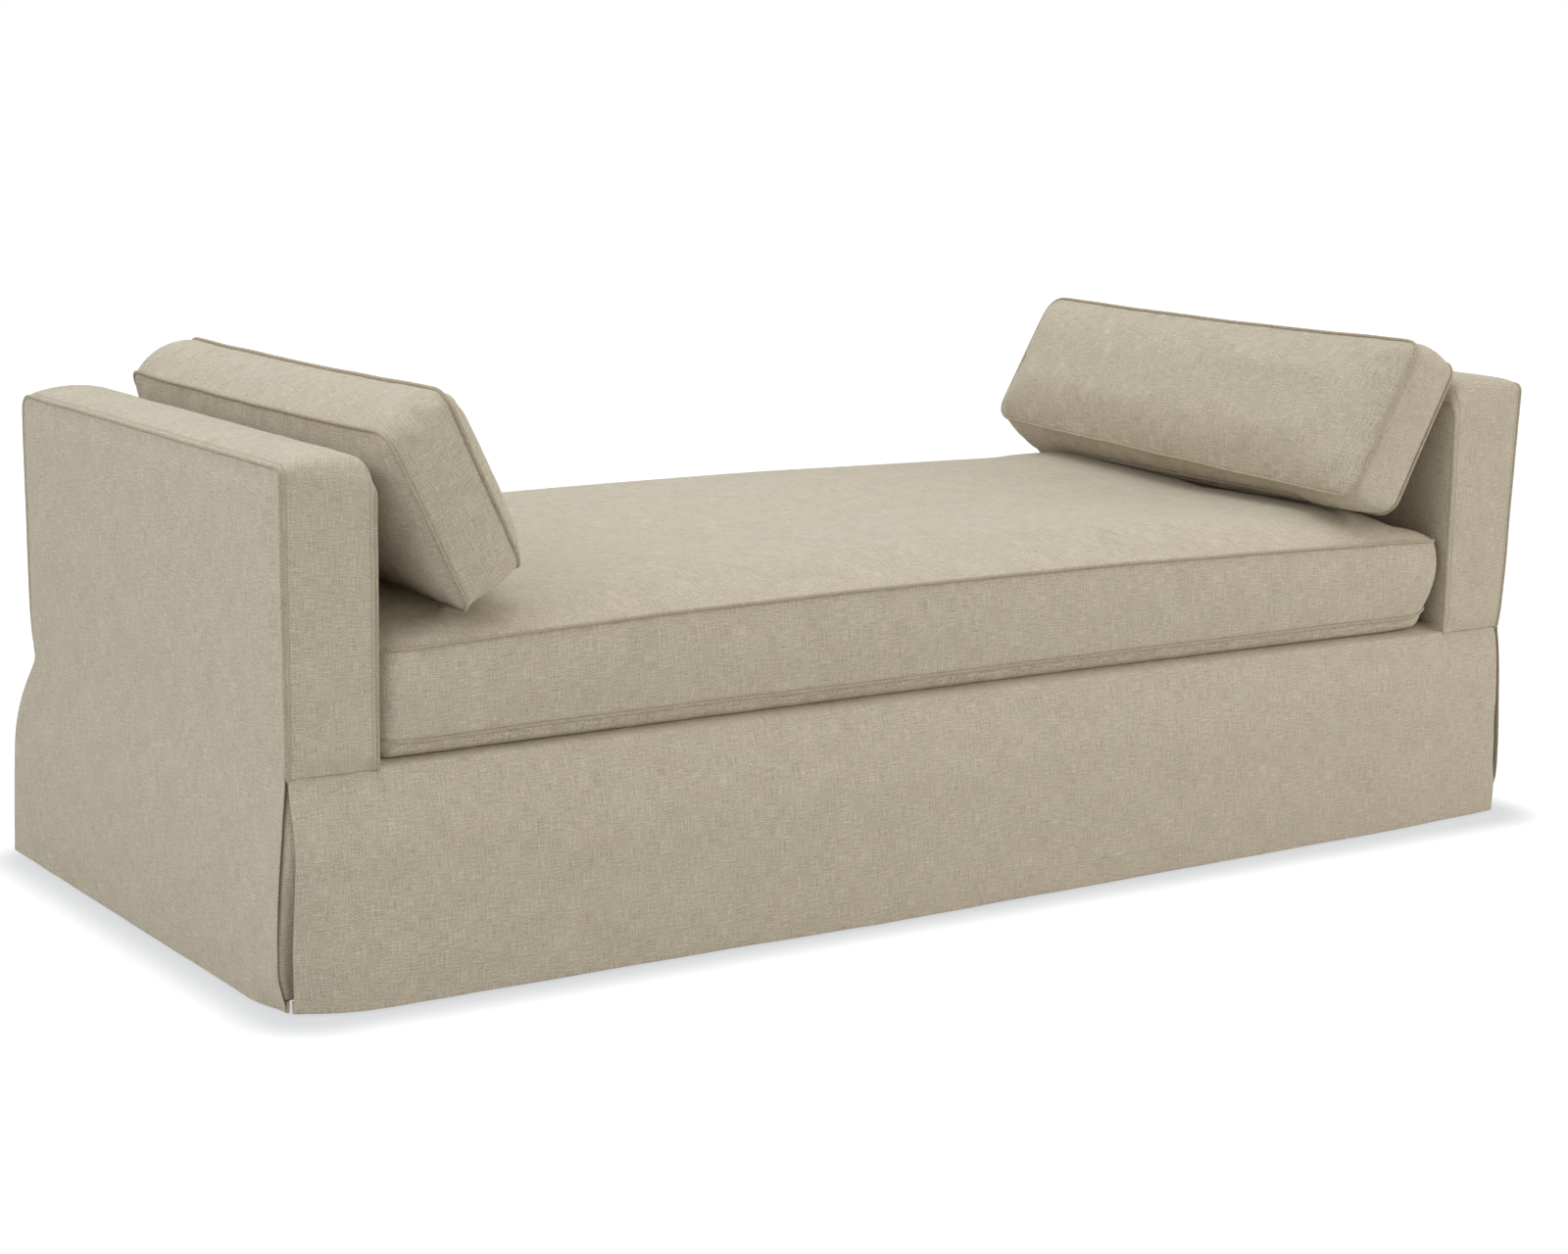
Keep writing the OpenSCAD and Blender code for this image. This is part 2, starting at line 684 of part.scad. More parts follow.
// The right arm's outer form, or that form drawn in by a skin on every side
module arm_form(skin) {
    xi = inner_x + skin;
    xo = half_w - skin;
    top = arm_h - skin;
    r = arm_round - skin;
    nose = arm_nose - skin;
    y = half_d - skin;
    mid = (xi + xo) / 2;
    half = (xo - xi) / 2;
    function crown_z(x) = top + arm_crown * (1 - pow((x - mid) / half, 2));
    start = xi + r;
    intersection() {
        translate([0, y, 0]) rotate([90, 0, 0]) linear_extrude(2 * y) polygon(concat(
            [[xi, seam_z], [xo, seam_z]],
            [for (k = [0 : crown_pts]) let (x = xo + (start - xo) * k / crown_pts)
                [x, crown_z(x)]],
            [for (k = [1 : nose_pts]) let (a = 90 + 90 * k / nose_pts)
                [start + r * cos(a), crown_z(start) - r + r * sin(a)]]));
        translate([xi - over, 0, 0]) rotate([90, 0, 90]) linear_extrude(2 * (half + over))
            polygon(concat([[y, seam_z - over]],
                arc(y - nose, top + arm_crown - nose, nose, 0, 90, nose_pts),
                arc(-y + nose, top + arm_crown - nose, nose, 90, 180, nose_pts),
                [[-y, seam_z - over]]));
    }
}

// The room that an arm's piping takes on its outer and inner edges
module arm_welt_room() {
    y = half_d - welt_in;
    top = arm_h + arm_crown + over;
    both_sides() {
        block([half_w - welt_in, y, seam_z - over], [half_w + over, half_d + over, top]);
        block([inner_x - over, y, seam_z - over], [inner_x + welt_in, half_d + over, inner_seam_z + welt_r]);
        block([half_w - welt_in, y - arm_nose, arm_h - arm_nose], [half_w + over, half_d + over, top]);
        block([inner_x - over, y - arm_nose, inner_seam_z - arm_nose],
            [inner_x + welt_in, half_d + over, inner_seam_z + welt_r]);
    }
    block([half_w - welt_in, -half_d - over, arm_h - welt_in], [half_w + over, half_d + over, top]);
    block([inner_x - over, -half_d - over, inner_seam_z - welt_r],
        [inner_x + welt_in, half_d + over, inner_seam_z + welt_r]);
}

// Foam and wadding over the arm's frame, in one shell open at the bottom
module right_arm_padding() {
    color(wadding) difference() {
        arm_form(cloth_t);
        block([arm_frame_x - board_t, -frame_y, seam_z - over],
            [frame_x + board_t, frame_y, arm_frame_top]);
        arm_welt_room();
    }
}

module left_arm_padding() {
    mirror([1, 0, 0]) right_arm_padding();
}

// The boxing band: up the arm's front, over its top and down its back
module right_arm_band() {
    color(linen) difference() {
        arm_form(0);
        arm_form(cloth_t);
        block([inner_x - over, -half_d - over, seam_z - over],
            [half_w + over, half_d + over, seam_z]);
        block([half_w - cloth_t, -half_d - over, seam_z - over],
            [half_w + over, half_d + over, arm_h + arm_crown + over]);
        block([inner_x - over, -half_d - over, seam_z - over],
            [inner_x + cloth_t, half_d + over, inner_seam_z]);
        arm_welt_room();
    }
}

module left_arm_band() {
    mirror([1, 0, 0]) right_arm_band();
}

module right_inside_panel() {
    y = half_d - welt_in;
    top = inner_seam_z - welt_r - near;
    color(linen) translate([inner_x, 0, 0]) rotate([90, 0, 90]) linear_extrude(cloth_t)
        polygon(concat([[y, seam_z]], arc(y - arm_nose, top - arm_nose, arm_nose, 0, 90, nose_pts),
            arc(-y + arm_nose, top - arm_nose, arm_nose, 90, 180, nose_pts), [[-y, seam_z]]));
}

module left_inside_panel() {
    mirror([1, 0, 0]) right_inside_panel();
}

// The line of an arm's piping: up the front, over the top and down the back
function arm_line(x, top) = let (y = half_d - welt_line, n = 4) concat(
    [[x, -y, seam_z], [x, -y, (seam_z + top - arm_nose) / 2]],
    [for (p = flip(arc(-y + arm_nose, top - arm_nose, arm_nose, 90, 180, n))) [x, p[0], p[1]]],
    [[x, 0, top]],
    [for (p = flip(arc(y - arm_nose, top - arm_nose, arm_nose, 0, 90, n))) [x, p[0], p[1]]],
    [[x, y, (seam_z + top - arm_nose) / 2], [x, y, seam_z]]);

module right_outer_welt() {
    color(piping) welt(arm_line(half_w - welt_line, arm_h - welt_line), [1, 0, 0], false);
}

module left_outer_welt() {
    mirror([1, 0, 0]) right_outer_welt();
}

module right_inner_welt() {
    color(piping) welt(arm_line(inner_x + welt_line, inner_seam_z), [1, 0, 0], false);
}

module left_inner_welt() {
    mirror([1, 0, 0]) right_inner_welt();
}

// Share of the flare reached at a share of the skirt's drop
function flare(t) = t <= 0 ? 0 : sin(90 * min(1, t / flare_share));
function drop_z(t) = seam_z - t * (seam_z - hem_z);
function turn(v, half, reach, dip) = v > half - reach ? dip * pow((v - half + reach) / reach, 2) : 0;

// Depth of the front skirt's outside, and breadth of an end panel's, below the seam
function skirt_y(x, t) = half_d + flare(t) * (skirt_out + skirt_bow * (1 - pow(x / half_w, 2)))
    - max(0, t) * turn(abs(x), half_w, turn_x, dip_front);
function panel_x(y, t) = half_w + flare(t) * end_out
    - max(0, t) * turn(abs(y), half_d, turn_y, dip_end);
function skirt_half(t) = half_w - pleat_gap - t * pleat_open;

function mirrored(shares) = concat([for (i = [len(shares) - 1 : -1 : 1]) -shares[i]], shares);

module front_skirt() {
    function grid(skin) = [for (t = skirt_rows) [for (s = mirrored(skirt_shares))
        let (x = s * skirt_half(t)) [x, -skirt_y(x, t) + skin, drop_z(t)]]];
    color(linen) sheet(grid(0), grid(cloth_t));
}

module back_skirt() {
    rotate([0, 0, 180]) front_skirt();
}

// The end panel: one cloth from the arm's top piping down to the hem
module right_end_panel() {
    top = arm_h - welt_in;
    half = half_d - welt_in;
    levels = concat([for (s = rise_shares) [seam_z + s * (top - seam_z), 0]],
        [for (t = skirt_rows) [drop_z(t), t]]);
    function reach(z) = z > top - arm_nose
        ? half - arm_nose + sqrt(max(0, pow(arm_nose, 2) - pow(z - top + arm_nose, 2))) : half;
    function grid(skin) = [for (l = levels) [for (s = mirrored(panel_shares))
        let (y = s * reach(l[0])) [panel_x(y, l[1]) - skin, y, l[0]]]];
    color(linen) sheet(grid(0), grid(cloth_t));
}

module left_end_panel() {
    rotate([0, 0, 180]) right_end_panel();
}

// The cloth behind each corner's kick pleat
module pleat_underlay() {
    function grid(skin) = [for (t = skirt_rows) let (
        f = flare(t), off = cloth_t + near + under_step * f, r = under_r + under_grow * t,
        x = half_w + end_out * f - off - r, y = half_d + skirt_out * f - off - r,
        z = drop_z(t) - near)
        concat([[x - under_tail, -y - r + skin, z]],
            [for (k = [0 : under_cols]) let (a = 90 - 90 * k / under_cols)
                [x + (r - skin) * cos(a), -y - (r - skin) * sin(a), z]],
            [[x + r - skin, -y + under_tail, z]])];
    sheet(grid(0), grid(cloth_t));
}

module pleat_underlays() {
    color(lining) both_ends() both_sides() pleat_underlay();
}

module dust_cover() {
    color(nylon) difference() {
        block([-frame_x, -frame_y, rail_z - dust_t], [frame_x, frame_y, rail_z]);
        for (p = concat(leg_places, centre_places))
            block([p[0] - leg_w / 2 - near, p[1] - leg_w / 2 - near, rail_z - dust_t - over],
                [p[0] + leg_w / 2 + near, p[1] + leg_w / 2 + near, rail_z + over]);
    }
}

// Places the seat cushion's pieces on the deck
module on_deck() {
    translate([0, 0, seat_mid_z]) children();
}

module seat_cover() {
    color(linen) on_deck() cushion_cover(seat, seat_rows, seat_slit_row);
}

module seat_top_welt() {
    color(piping) on_deck() cushion_welt(seat, 1);
}

module seat_bottom_welt() {
    color(piping) on_deck() cushion_welt(seat, 0);
}

// Bottom and top of the foam block between the two fibre layers
core_skin = cloth_t + near;
core_low = -seat_box_h / 2 + core_skin;
core_high = seat_box_h / 2 - core_skin - welt_r;

module seat_foam_core() {
    color(foam) on_deck() translate([0, 0, core_low]) linear_extrude(core_high - core_low)
        polygon(inset_outline(seat, core_skin));
}

// Fibre below and above the foam, as full as the cover
module seat_fibre_layers() {
    function level(z) = [for (p = inset_outline(seat, core_skin)) [p[0], p[1], z]];
    color(wadding) on_deck() {
        loft(concat(skin_rows(seat, rows_of(seat_bottom_shares, [], []), core_skin),
            [[for (p = row_pts(seat, [0, 0], core_skin)) [p[0], p[1], min(p[2], core_low - near)]]],
            [level(core_low - near / 2)]));
        loft(concat([level(core_high + near)],
            [row_pts(seat, [0, 1], core_skin)],
            skin_rows(seat, rows_of([], [], seat_top_shares), core_skin)));
    }
}

// A zip in a cushion's slit: two tapes as one strip, and the coil on it
module zip(c, shares) {
    side = (shares[0] + shares[1]) / 2;
    margin = near / c[2];
    function row(s, skin) = let (pts = row_pts(c, [0, s], skin), end = pts[zip_from(c)][0])
        [for (i = [zip_from(c) : zip_to(c)]) [pts[i][0] * (1 - near / end), pts[i][1], pts[i][2]]];
    function grid(skin) = [row(shares[1] - margin, skin), row(shares[0] + margin, skin)];
    sheet(grid(0), grid(cloth_t));
    line = row(side, 0);
    half = line[0][0];
    translate([-half, line[0][1] + near / 3, skin_z(c, side, half, 0) - coil_h / 2])
        cube([2 * half, coil_t, coil_h]);
}

// A zip's slider with its pull tab, at the zip's left end
module zip_slider(c, shares) {
    side = (shares[0] + shares[1]) / 2;
    pts = row_pts(c, [0, side], 0);
    half = pts[zip_from(c)][0];
    y = pts[zip_from(c)][1] + near + coil_t + near;
    z = skin_z(c, side, half, 0);
    translate([-half + near, y, z - slider_w / 2]) cube([slider_l, slider_t, slider_w]);
    translate([-half + near + slider_l / 2, y + slider_t, z - pull_w / 2])
        cube([pull_l, pull_t, pull_w]);
}

seat_zip_shares = [seat_side_shares[2], seat_side_shares[3]];
bolster_zip_shares = [bolster_side_shares[1], bolster_side_shares[2]];

module seat_zip() {
    color(nylon) on_deck() zip(seat, seat_zip_shares);
}

module seat_zip_slider() {
    color(steel) on_deck() zip_slider(seat, seat_zip_shares);
}

// Height of the seat cushion's top at x on its middle line, along the straight
// stretches between its rows
seat_profile = [for (s = concat([0], seat_top_shares)) let (d = s * seat[1], x = seat[0] - d)
    [-x, seat_mid_z + skin_z(seat, 1, x, d)]];
function seat_top_z(x) = lookup(-abs(x), seat_profile);

// A left bolster leans outwards: the way its outer face looks, and the way up its height
lean_out = [-cos(bolster_lean), -sin(bolster_lean)];
lean_up = [-sin(bolster_lean), cos(bolster_lean)];
// Centre of the arm's rounded inner edge, which the crown of the outer face rests on
arm_edge = [-inner_x - arm_round,
    arm_h + arm_crown * (1 - pow(1 - 2 * arm_round / arm_t, 2)) - arm_round];
// Distance of the outer piping's plane along lean_out
face_at = lean_out * arm_edge - bolster_crown - arm_round - bolster_gap;
// The lowest point of the piping under the lower outer edge, from that edge
toe = welt_off * (lean_out - lean_up) - [0, welt_r];
// The lower outer edge at height z, and that height once it has settled on the seat
function edge_x(z) = face_at * lean_out[0] + (z - face_at * lean_out[1]) / lean_up[1] * lean_up[0];
function settle(z, n) = n == 0 ? z
    : settle(seat_top_z(edge_x(z) + toe[0]) + near - toe[1], n - 1);
settle_steps = 8;
bolster_edge_z = settle(seat_mid_z + seat_box_h / 2, settle_steps);
bolster_at = [edge_x(bolster_edge_z), bolster_edge_z]
    - lean_out * bolster[2] / 2 + lean_up * bolster[1];

// Places the left bolster: its length along Y, its zip side down
module leaning() {
    translate([bolster_at[0], 0, bolster_at[1]]) rotate([0, 90 - bolster_lean, 0])
        rotate([0, 0, -90]) children();
}

module left_bolster_cover() {
    color(linen) leaning() cushion_cover(bolster, bolster_rows, bolster_slit_row);
}

module left_bolster_welts() {
    color(piping) leaning() {
        cushion_welt(bolster, 0);
        cushion_welt(bolster, 1);
    }
}

module left_bolster_fill() {
    t = bolster[2] - 2 * core_skin;
    color(wadding) leaning() translate([0, 0, -t / 2]) linear_extrude(t)
        polygon(inset_outline(bolster, core_skin));
}

module left_bolster_zip() {
    color(nylon) leaning() zip(bolster, bolster_zip_shares);
}

module left_bolster_zip_slider() {
    color(steel) leaning() zip_slider(bolster, bolster_zip_shares);
}

module right_bolster_cover() {
    mirror([1, 0, 0]) left_bolster_cover();
}

module right_bolster_welts() {
    mirror([1, 0, 0]) left_bolster_welts();
}

module right_bolster_fill() {
    mirror([1, 0, 0]) left_bolster_fill();
}

module right_bolster_zip() {
    mirror([1, 0, 0]) left_bolster_zip();
}

module right_bolster_zip_slider() {
    mirror([1, 0, 0]) left_bolster_zip_slider();
}

front_rail();
back_rail();
end_rails();
cross_rails();
corner_blocks();
left_arm_posts();
right_arm_posts();
left_arm_top_rail();
right_arm_top_rail();
arm_inner_rails();
left_arm_boards();
right_arm_boards();
rail_dowels();
arm_screws();
corner_legs();
centre_legs();
leg_bolts();
glides();
sinuous_springs();
spring_clips();
spring_ties();
insulator_sheet();
deck_pad();
edge_rolls();
deck_cover();
left_arm_padding();
right_arm_padding();
left_arm_band();
right_arm_band();
left_end_panel();
right_end_panel();
left_inside_panel();
right_inside_panel();
left_outer_welt();
left_inner_welt();
right_outer_welt();
right_inner_welt();
front_skirt();
back_skirt();
pleat_underlays();
dust_cover();
seat_cover();
seat_top_welt();
seat_bottom_welt();
seat_foam_core();
seat_fibre_layers();
seat_zip();
seat_zip_slider();
left_bolster_cover();
left_bolster_welts();
left_bolster_fill();
left_bolster_zip();
left_bolster_zip_slider();
right_bolster_cover();
right_bolster_welts();
right_bolster_fill();
right_bolster_zip();
right_bolster_zip_slider();
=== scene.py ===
import math
import bmesh
import bpy
from mathutils import Matrix, Vector, noise


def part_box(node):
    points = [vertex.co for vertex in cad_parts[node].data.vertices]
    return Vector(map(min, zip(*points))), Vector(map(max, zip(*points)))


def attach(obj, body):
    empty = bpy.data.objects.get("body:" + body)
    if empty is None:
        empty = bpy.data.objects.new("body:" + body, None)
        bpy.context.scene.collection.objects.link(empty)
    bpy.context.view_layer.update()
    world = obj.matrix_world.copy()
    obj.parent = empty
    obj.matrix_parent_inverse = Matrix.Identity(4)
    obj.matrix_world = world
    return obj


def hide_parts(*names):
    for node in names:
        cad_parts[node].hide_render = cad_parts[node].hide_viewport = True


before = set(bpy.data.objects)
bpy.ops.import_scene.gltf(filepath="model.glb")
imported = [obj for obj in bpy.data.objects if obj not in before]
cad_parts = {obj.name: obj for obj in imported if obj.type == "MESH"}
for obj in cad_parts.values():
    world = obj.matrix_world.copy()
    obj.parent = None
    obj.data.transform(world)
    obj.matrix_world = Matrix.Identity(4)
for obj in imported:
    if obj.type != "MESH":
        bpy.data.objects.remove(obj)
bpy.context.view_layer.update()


# Timber: the rails, posts and corner blocks are sawn softwood, dowelled and glued
# together. They keep their CAD shapes and get the grain and saw marks.
class Value:
    """A socket of a finish, on which sums can be written."""

    def __init__(self, finish, socket):
        self.finish, self.socket = finish, socket

    def __add__(self, other):
        return self.finish.maths("ADD", self, other)

    def __sub__(self, other):
        return self.finish.maths("SUBTRACT", self, other)

    def __rsub__(self, other):
        return self.finish.maths("SUBTRACT", other, self)

    def __mul__(self, other):
        return self.finish.maths("MULTIPLY", self, other)

    def __pow__(self, other):
        return self.finish.maths("POWER", self, other)

    __radd__, __rmul__ = __add__, __mul__


class Finish:
    """A material, or the world, and the nodes that it is made of."""

    def __init__(self, name, kind="materials", shader="Principled BSDF"):
        self.material = getattr(bpy.data, kind).new(name)
        self.material.use_nodes = True
        self.tree = self.material.node_tree
        self.shader = self.tree.nodes[shader]

    def node(self, kind, settings={}, sockets={}, out=0):
        made = self.tree.nodes.new(kind)
        for name, value in settings.items():
            if name == "stops":
                ramp = made.color_ramp.elements
                while len(ramp) < len(value):
                    ramp.new(0.5)
                for element, (place, colour) in zip(ramp, value):
                    element.position, element.color = place, (*colour, 1)
            else:
                setattr(made, name, value)
        for name, value in sockets.items():
            self.feed(made.inputs[name], value)
        return Value(self, made.outputs[out])

    def feed(self, socket, value):
        if isinstance(value, Value):
            self.tree.links.new(value.socket, socket)
        else:
            socket.default_value = value

    def maths(self, operation, first, second=0.0):
        return self.node("ShaderNodeMath", {"operation": operation}, {0: first, 1: second})

    def ramp(self, value, *stops):
        return self.node("ShaderNodeValToRGB", {"stops": stops}, {0: value})

    def ranged(self, value, low, high, start=0.0, end=1.0):
        return self.node("ShaderNodeMapRange", {}, {0: value, 1: low, 2: high, 3: start, 4: end})

    def noise(self, vector, scale, detail=2.0, roughness=0.5):
        return self.node("ShaderNodeTexNoise", {}, {
            "Vector": vector, "Scale": scale, "Detail": detail, "Roughness": roughness})

    def stretched(self, vector, scale, turn=(0, 0, 0)):
        return self.node("ShaderNodeMapping", {}, {"Vector": vector, "Scale": scale, "Rotation": turn})

    def mixed(self, share, first, second, blend="MIX"):
        return self.node("ShaderNodeMix", {"data_type": "RGBA", "blend_type": blend},
                         {0: share, 6: first, 7: second}, 2)

    def object_place(self):
        return self.node("ShaderNodeTexCoord", out=3)

    def wear(self, colour, roughness, height=None, depth=0.0005, strength=0.6, **fixed):
        """Joins the colour, roughness and relief to the shader, and sets its fixed values."""
        self.feed(self.shader.inputs["Base Color"], colour)
        self.feed(self.shader.inputs["Roughness"], roughness)
        if height is not None:
            self.feed(self.shader.inputs["Normal"], self.node("ShaderNodeBump", {}, {
                "Strength": strength, "Distance": depth, "Height": height}))
        for name, value in fixed.items():
            self.shader.inputs[name.replace("_", " ")].default_value = value
        return self.material


def put_on(piece, material):
    """Gives a piece its one material."""
    piece.data.materials.clear()
    piece.data.materials.append(material)


def wear_nodes(material, *names):
    """Gives CAD nodes one material."""
    for name in names:
        put_on(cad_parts[name], material)


def sawn_timber(name, along):
    """Softwood whose grain runs along one axis."""
    f = Finish(name)
    place = f.object_place()
    grain = [26, 26, 26]
    grain[along] = 1.3
    bent = f.noise(place, 3.0, 2.0)
    rings = f.noise(f.stretched(place, grain), 2.2, 4.0, 0.65)
    fibres = f.noise(f.stretched(place, [g * 9 for g in grain]), 3.0, 3.0)
    saw = f.noise(f.stretched(place, [420 if k == along else 3 for k in range(3)]), 1.0, 1.0)
    tone = rings * 0.7 + fibres * 0.2 + bent * 0.2
    colour = f.ramp(tone, (0.36, (0.36, 0.22, 0.10)), (0.52, (0.58, 0.41, 0.22)),
                    (0.70, (0.72, 0.56, 0.34)))
    return f.wear(colour, 0.62 + 0.2 * fibres, saw * 0.5 + fibres * 0.5, 0.0006)


timber_along = (("front_rail", "back_rail", "corner_blocks"),
                ("end_rails", "cross_rails", "left_arm_top_rail", "right_arm_top_rail", "arm_inner_rails"),
                ("left_arm_posts", "right_arm_posts"))
for along, names in enumerate(timber_along):
    wear_nodes(sawn_timber("sawn_timber_" + "xyz"[along], along), *names)


# Dowels: turned beech pins, pressed into the rail joints with glue.
f = Finish("beech_dowel")
flecks = f.noise(f.stretched(f.object_place(), (60, 60, 60)), 6.0, 3.0)
colour = f.ramp(flecks, (0.35, (0.55, 0.38, 0.22)), (0.65, (0.74, 0.57, 0.38)))
wear_nodes(f.wear(colour, 0.5 + 0.2 * flecks, flecks, 0.0002), "rail_dowels")


# Arm boards: pressed fibreboard stapled over the arm's posts, which the padding lies on.
f = Finish("pressed_fibreboard")
place = f.object_place()
fibres = f.noise(place, 260.0, 4.0, 0.7)
clumps = f.noise(place, 34.0, 3.0)
colour = f.ramp(fibres * 0.65 + clumps * 0.35,
                (0.30, (0.20, 0.12, 0.06)), (0.55, (0.40, 0.27, 0.15)), (0.75, (0.52, 0.38, 0.23)))
wear_nodes(f.wear(colour, 0.85 - 0.1 * clumps, fibres, 0.0004), "left_arm_boards", "right_arm_boards")


# Legs: square tapered beech, stained dark and sealed, bolted up into the frame.
# The skirt hides them from every side; they show from below.
f = Finish("stained_leg")
place = f.object_place()
grain = f.noise(f.stretched(place, (55, 55, 3)), 2.5, 4.0, 0.6)
pores = f.noise(f.stretched(place, (900, 900, 40)), 1.0, 2.0)
colour = f.ramp(grain * 0.8 + pores * 0.2, (0.32, (0.035, 0.018, 0.010)),
                (0.58, (0.110, 0.058, 0.030)), (0.75, (0.170, 0.095, 0.050)))
wear_nodes(f.wear(colour, 0.34 + 0.25 * pores, pores, 0.0002, 0.5, Coat_Weight=0.25, Coat_Roughness=0.25),
           "corner_legs", "centre_legs")


# Glides: moulded nylon discs with a nail, driven into the foot of each leg.
f = Finish("nylon_glide")
place = f.object_place()
scuffs = f.noise(f.stretched(place, (300, 40, 300)), 1.0, 3.0)
speck = f.noise(place, 900.0, 2.0)
colour = f.mixed(scuffs, (0.045, 0.040, 0.036, 1), (0.110, 0.100, 0.090, 1))
wear_nodes(f.wear(colour, 0.38 + 0.35 * scuffs, speck, 0.0001), "glides")


# Steel: drawn spring wire, pressed clips, tie wires, leg bolts and arm screws.
# The wire is bright with fine draw marks and a little surface dulling.
f = Finish("drawn_steel")
place = f.object_place()
draw = f.noise(f.stretched(place, (700, 60, 700)), 1.0, 2.0)
dull = f.noise(place, 24.0, 3.0)
colour = f.ramp(draw * 0.4 + dull * 0.6, (0.30, (0.26, 0.26, 0.27)), (0.70, (0.56, 0.57, 0.59)))
wear_nodes(f.wear(colour, 0.28 + 0.3 * dull, draw, 0.0001, 0.4, Metallic=1.0),
           "leg_bolts", "arm_screws", "sinuous_springs", "spring_clips", "spring_ties")


# Insulator sheet: thin black felted cloth laid over the springs, so that they don't cut
# into the padding. It dips a little between the wires.
def grid_cloth(name, across, down, place, outward, turn=0.0):
    """A sheet on a grid of values across and down; place gives each point. Its cut map is
    in metres, measured along its middle lines, and outward is the side that shows."""
    columns, rows = len(across), len(down)
    bm = bmesh.new()
    bmesh.ops.create_grid(bm, x_segments=columns - 1, y_segments=rows - 1, size=1)
    spots = {}
    for v in bm.verts:
        spot = (round((v.co.x + 1) / 2 * (columns - 1)), round((v.co.y + 1) / 2 * (rows - 1)))
        spots[v] = spot
        v.co = place(across[spot[0]], down[spot[1]])
    at = {spot: v.co for v, spot in spots.items()}
    run, fall = [0.0], [0.0]
    for i in range(1, columns):
        run.append(run[-1] + (at[i, rows // 2] - at[i - 1, rows // 2]).length)
    for j in range(1, rows):
        fall.append(fall[-1] + (at[columns // 2, j] - at[columns // 2, j - 1]).length)
    cut = bm.loops.layers.uv.new("cut")
    for face in bm.faces:
        for loop in face.loops:
            i, j = spots[loop.vert]
            loop[cut].uv = (run[i] + turn, fall[j] + turn)
    bm.normal_update()
    facing = sum((face.normal * face.calc_area() for face in bm.faces), Vector())
    if facing.dot(Vector(outward)) < 0:
        bmesh.ops.reverse_faces(bm, faces=bm.faces)
    return finished(name, bm)


def finished(name, bm):
    """Makes an object of a bmesh, with smooth faces."""
    mesh = bpy.data.meshes.new(name)
    bm.to_mesh(mesh)
    bm.free()
    mesh.polygons.foreach_set("use_smooth", [True] * len(mesh.polygons))
    piece = bpy.data.objects.new(name, mesh)
    bpy.context.scene.collection.objects.link(piece)
    return piece


def thicken(piece, thickness, levels=0):
    """Gives a sheet its thickness, inwards from the side that shows."""
    solid = piece.modifiers.new("cloth", "SOLIDIFY")
    solid.thickness, solid.offset, solid.use_even_offset = thickness, -1, False
    if levels:
        soft = piece.modifiers.new("soft", "SUBSURF")
        soft.levels = soft.render_levels = levels


def fitted(piece, material, node, body):
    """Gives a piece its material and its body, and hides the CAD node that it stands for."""
    put_on(piece, material)
    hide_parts(node)
    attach(piece, body)


def evenly(low, high, count):
    return [low + (high - low) * k / count for k in range(count + 1)]


f = Finish("felted_lining")
place = f.object_place()
hairs = (f.noise(f.stretched(place, (240, 900, 240)), 1.0, 3.0) * 0.5
         + f.noise(f.stretched(place, (900, 240, 240)), 1.0, 3.0) * 0.5)
dots = f.noise(place, 420.0, 1.0)
colour = f.ramp(hairs, (0.35, (0.018, 0.018, 0.019)), (0.65, (0.075, 0.073, 0.070)))
felted = f.wear(colour, 0.9 - 0.1 * hairs, hairs + 0.4 * dots, 0.0003, Sheen_Weight=0.15)

low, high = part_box("insulator_sheet")
first_spring, spring_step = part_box("sinuous_springs")[0].x, 0.158


def insulator_point(x, y):
    dip = 0.0012 * (1 - math.cos(2 * math.pi * (x - first_spring) / spring_step)) / 2
    return Vector((x, y, high.z - 0.0004 - dip * (1 - (y / high.y) ** 4)))


insulator = grid_cloth("insulator_cloth", evenly(low.x, high.x, 150), evenly(low.y, high.y, 40),
                       insulator_point, (0, 0, 1))
thicken(insulator, 0.0006)
fitted(insulator, felted, "insulator_sheet", "base")


# Deck pad, edge rolls and fills: foam, felt and fibre, each cut or packed to fit and
# glued or laid in place. Foam is cut square and eased at its edges; fibre is loose.
def reshape(mesh, change):
    """Edits a mesh in place."""
    bm = bmesh.new()
    bm.from_mesh(mesh)
    change(bm)
    bm.to_mesh(mesh)
    bm.free()


def softened(name, node, voxel, ease, lumps, lump_size):
    """A soft filling in the place of its CAD solid, its edges eased and its faces uneven."""
    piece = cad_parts[node].copy()
    piece.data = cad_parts[node].data.copy()
    piece.name = name
    piece.parent = None
    for key in list(piece.keys()):
        del piece[key]
    bpy.context.scene.collection.objects.link(piece)
    reshape(piece.data, lambda bm: bmesh.ops.remove_doubles(bm, verts=bm.verts, dist=0.0001))
    remesh = piece.modifiers.new("remesh", "REMESH")
    remesh.mode, remesh.voxel_size, remesh.adaptivity = "VOXEL", voxel, 0.0
    made = bpy.data.meshes.new_from_object(
        piece.evaluated_get(bpy.context.evaluated_depsgraph_get()))
    piece.modifiers.clear()
    piece.data = made

    def ease_and_dent(bm):
        for _ in range(ease):
            bmesh.ops.smooth_vert(bm, verts=bm.verts, factor=0.5,
                                  use_axis_x=True, use_axis_y=True, use_axis_z=True)
        bm.normal_update()
        for v in bm.verts:
            v.co -= v.normal * lumps * (0.6 + noise.noise(v.co / lump_size))

    reshape(made, ease_and_dent)
    made.polygons.foreach_set("use_smooth", [True] * len(made.polygons))
    return piece


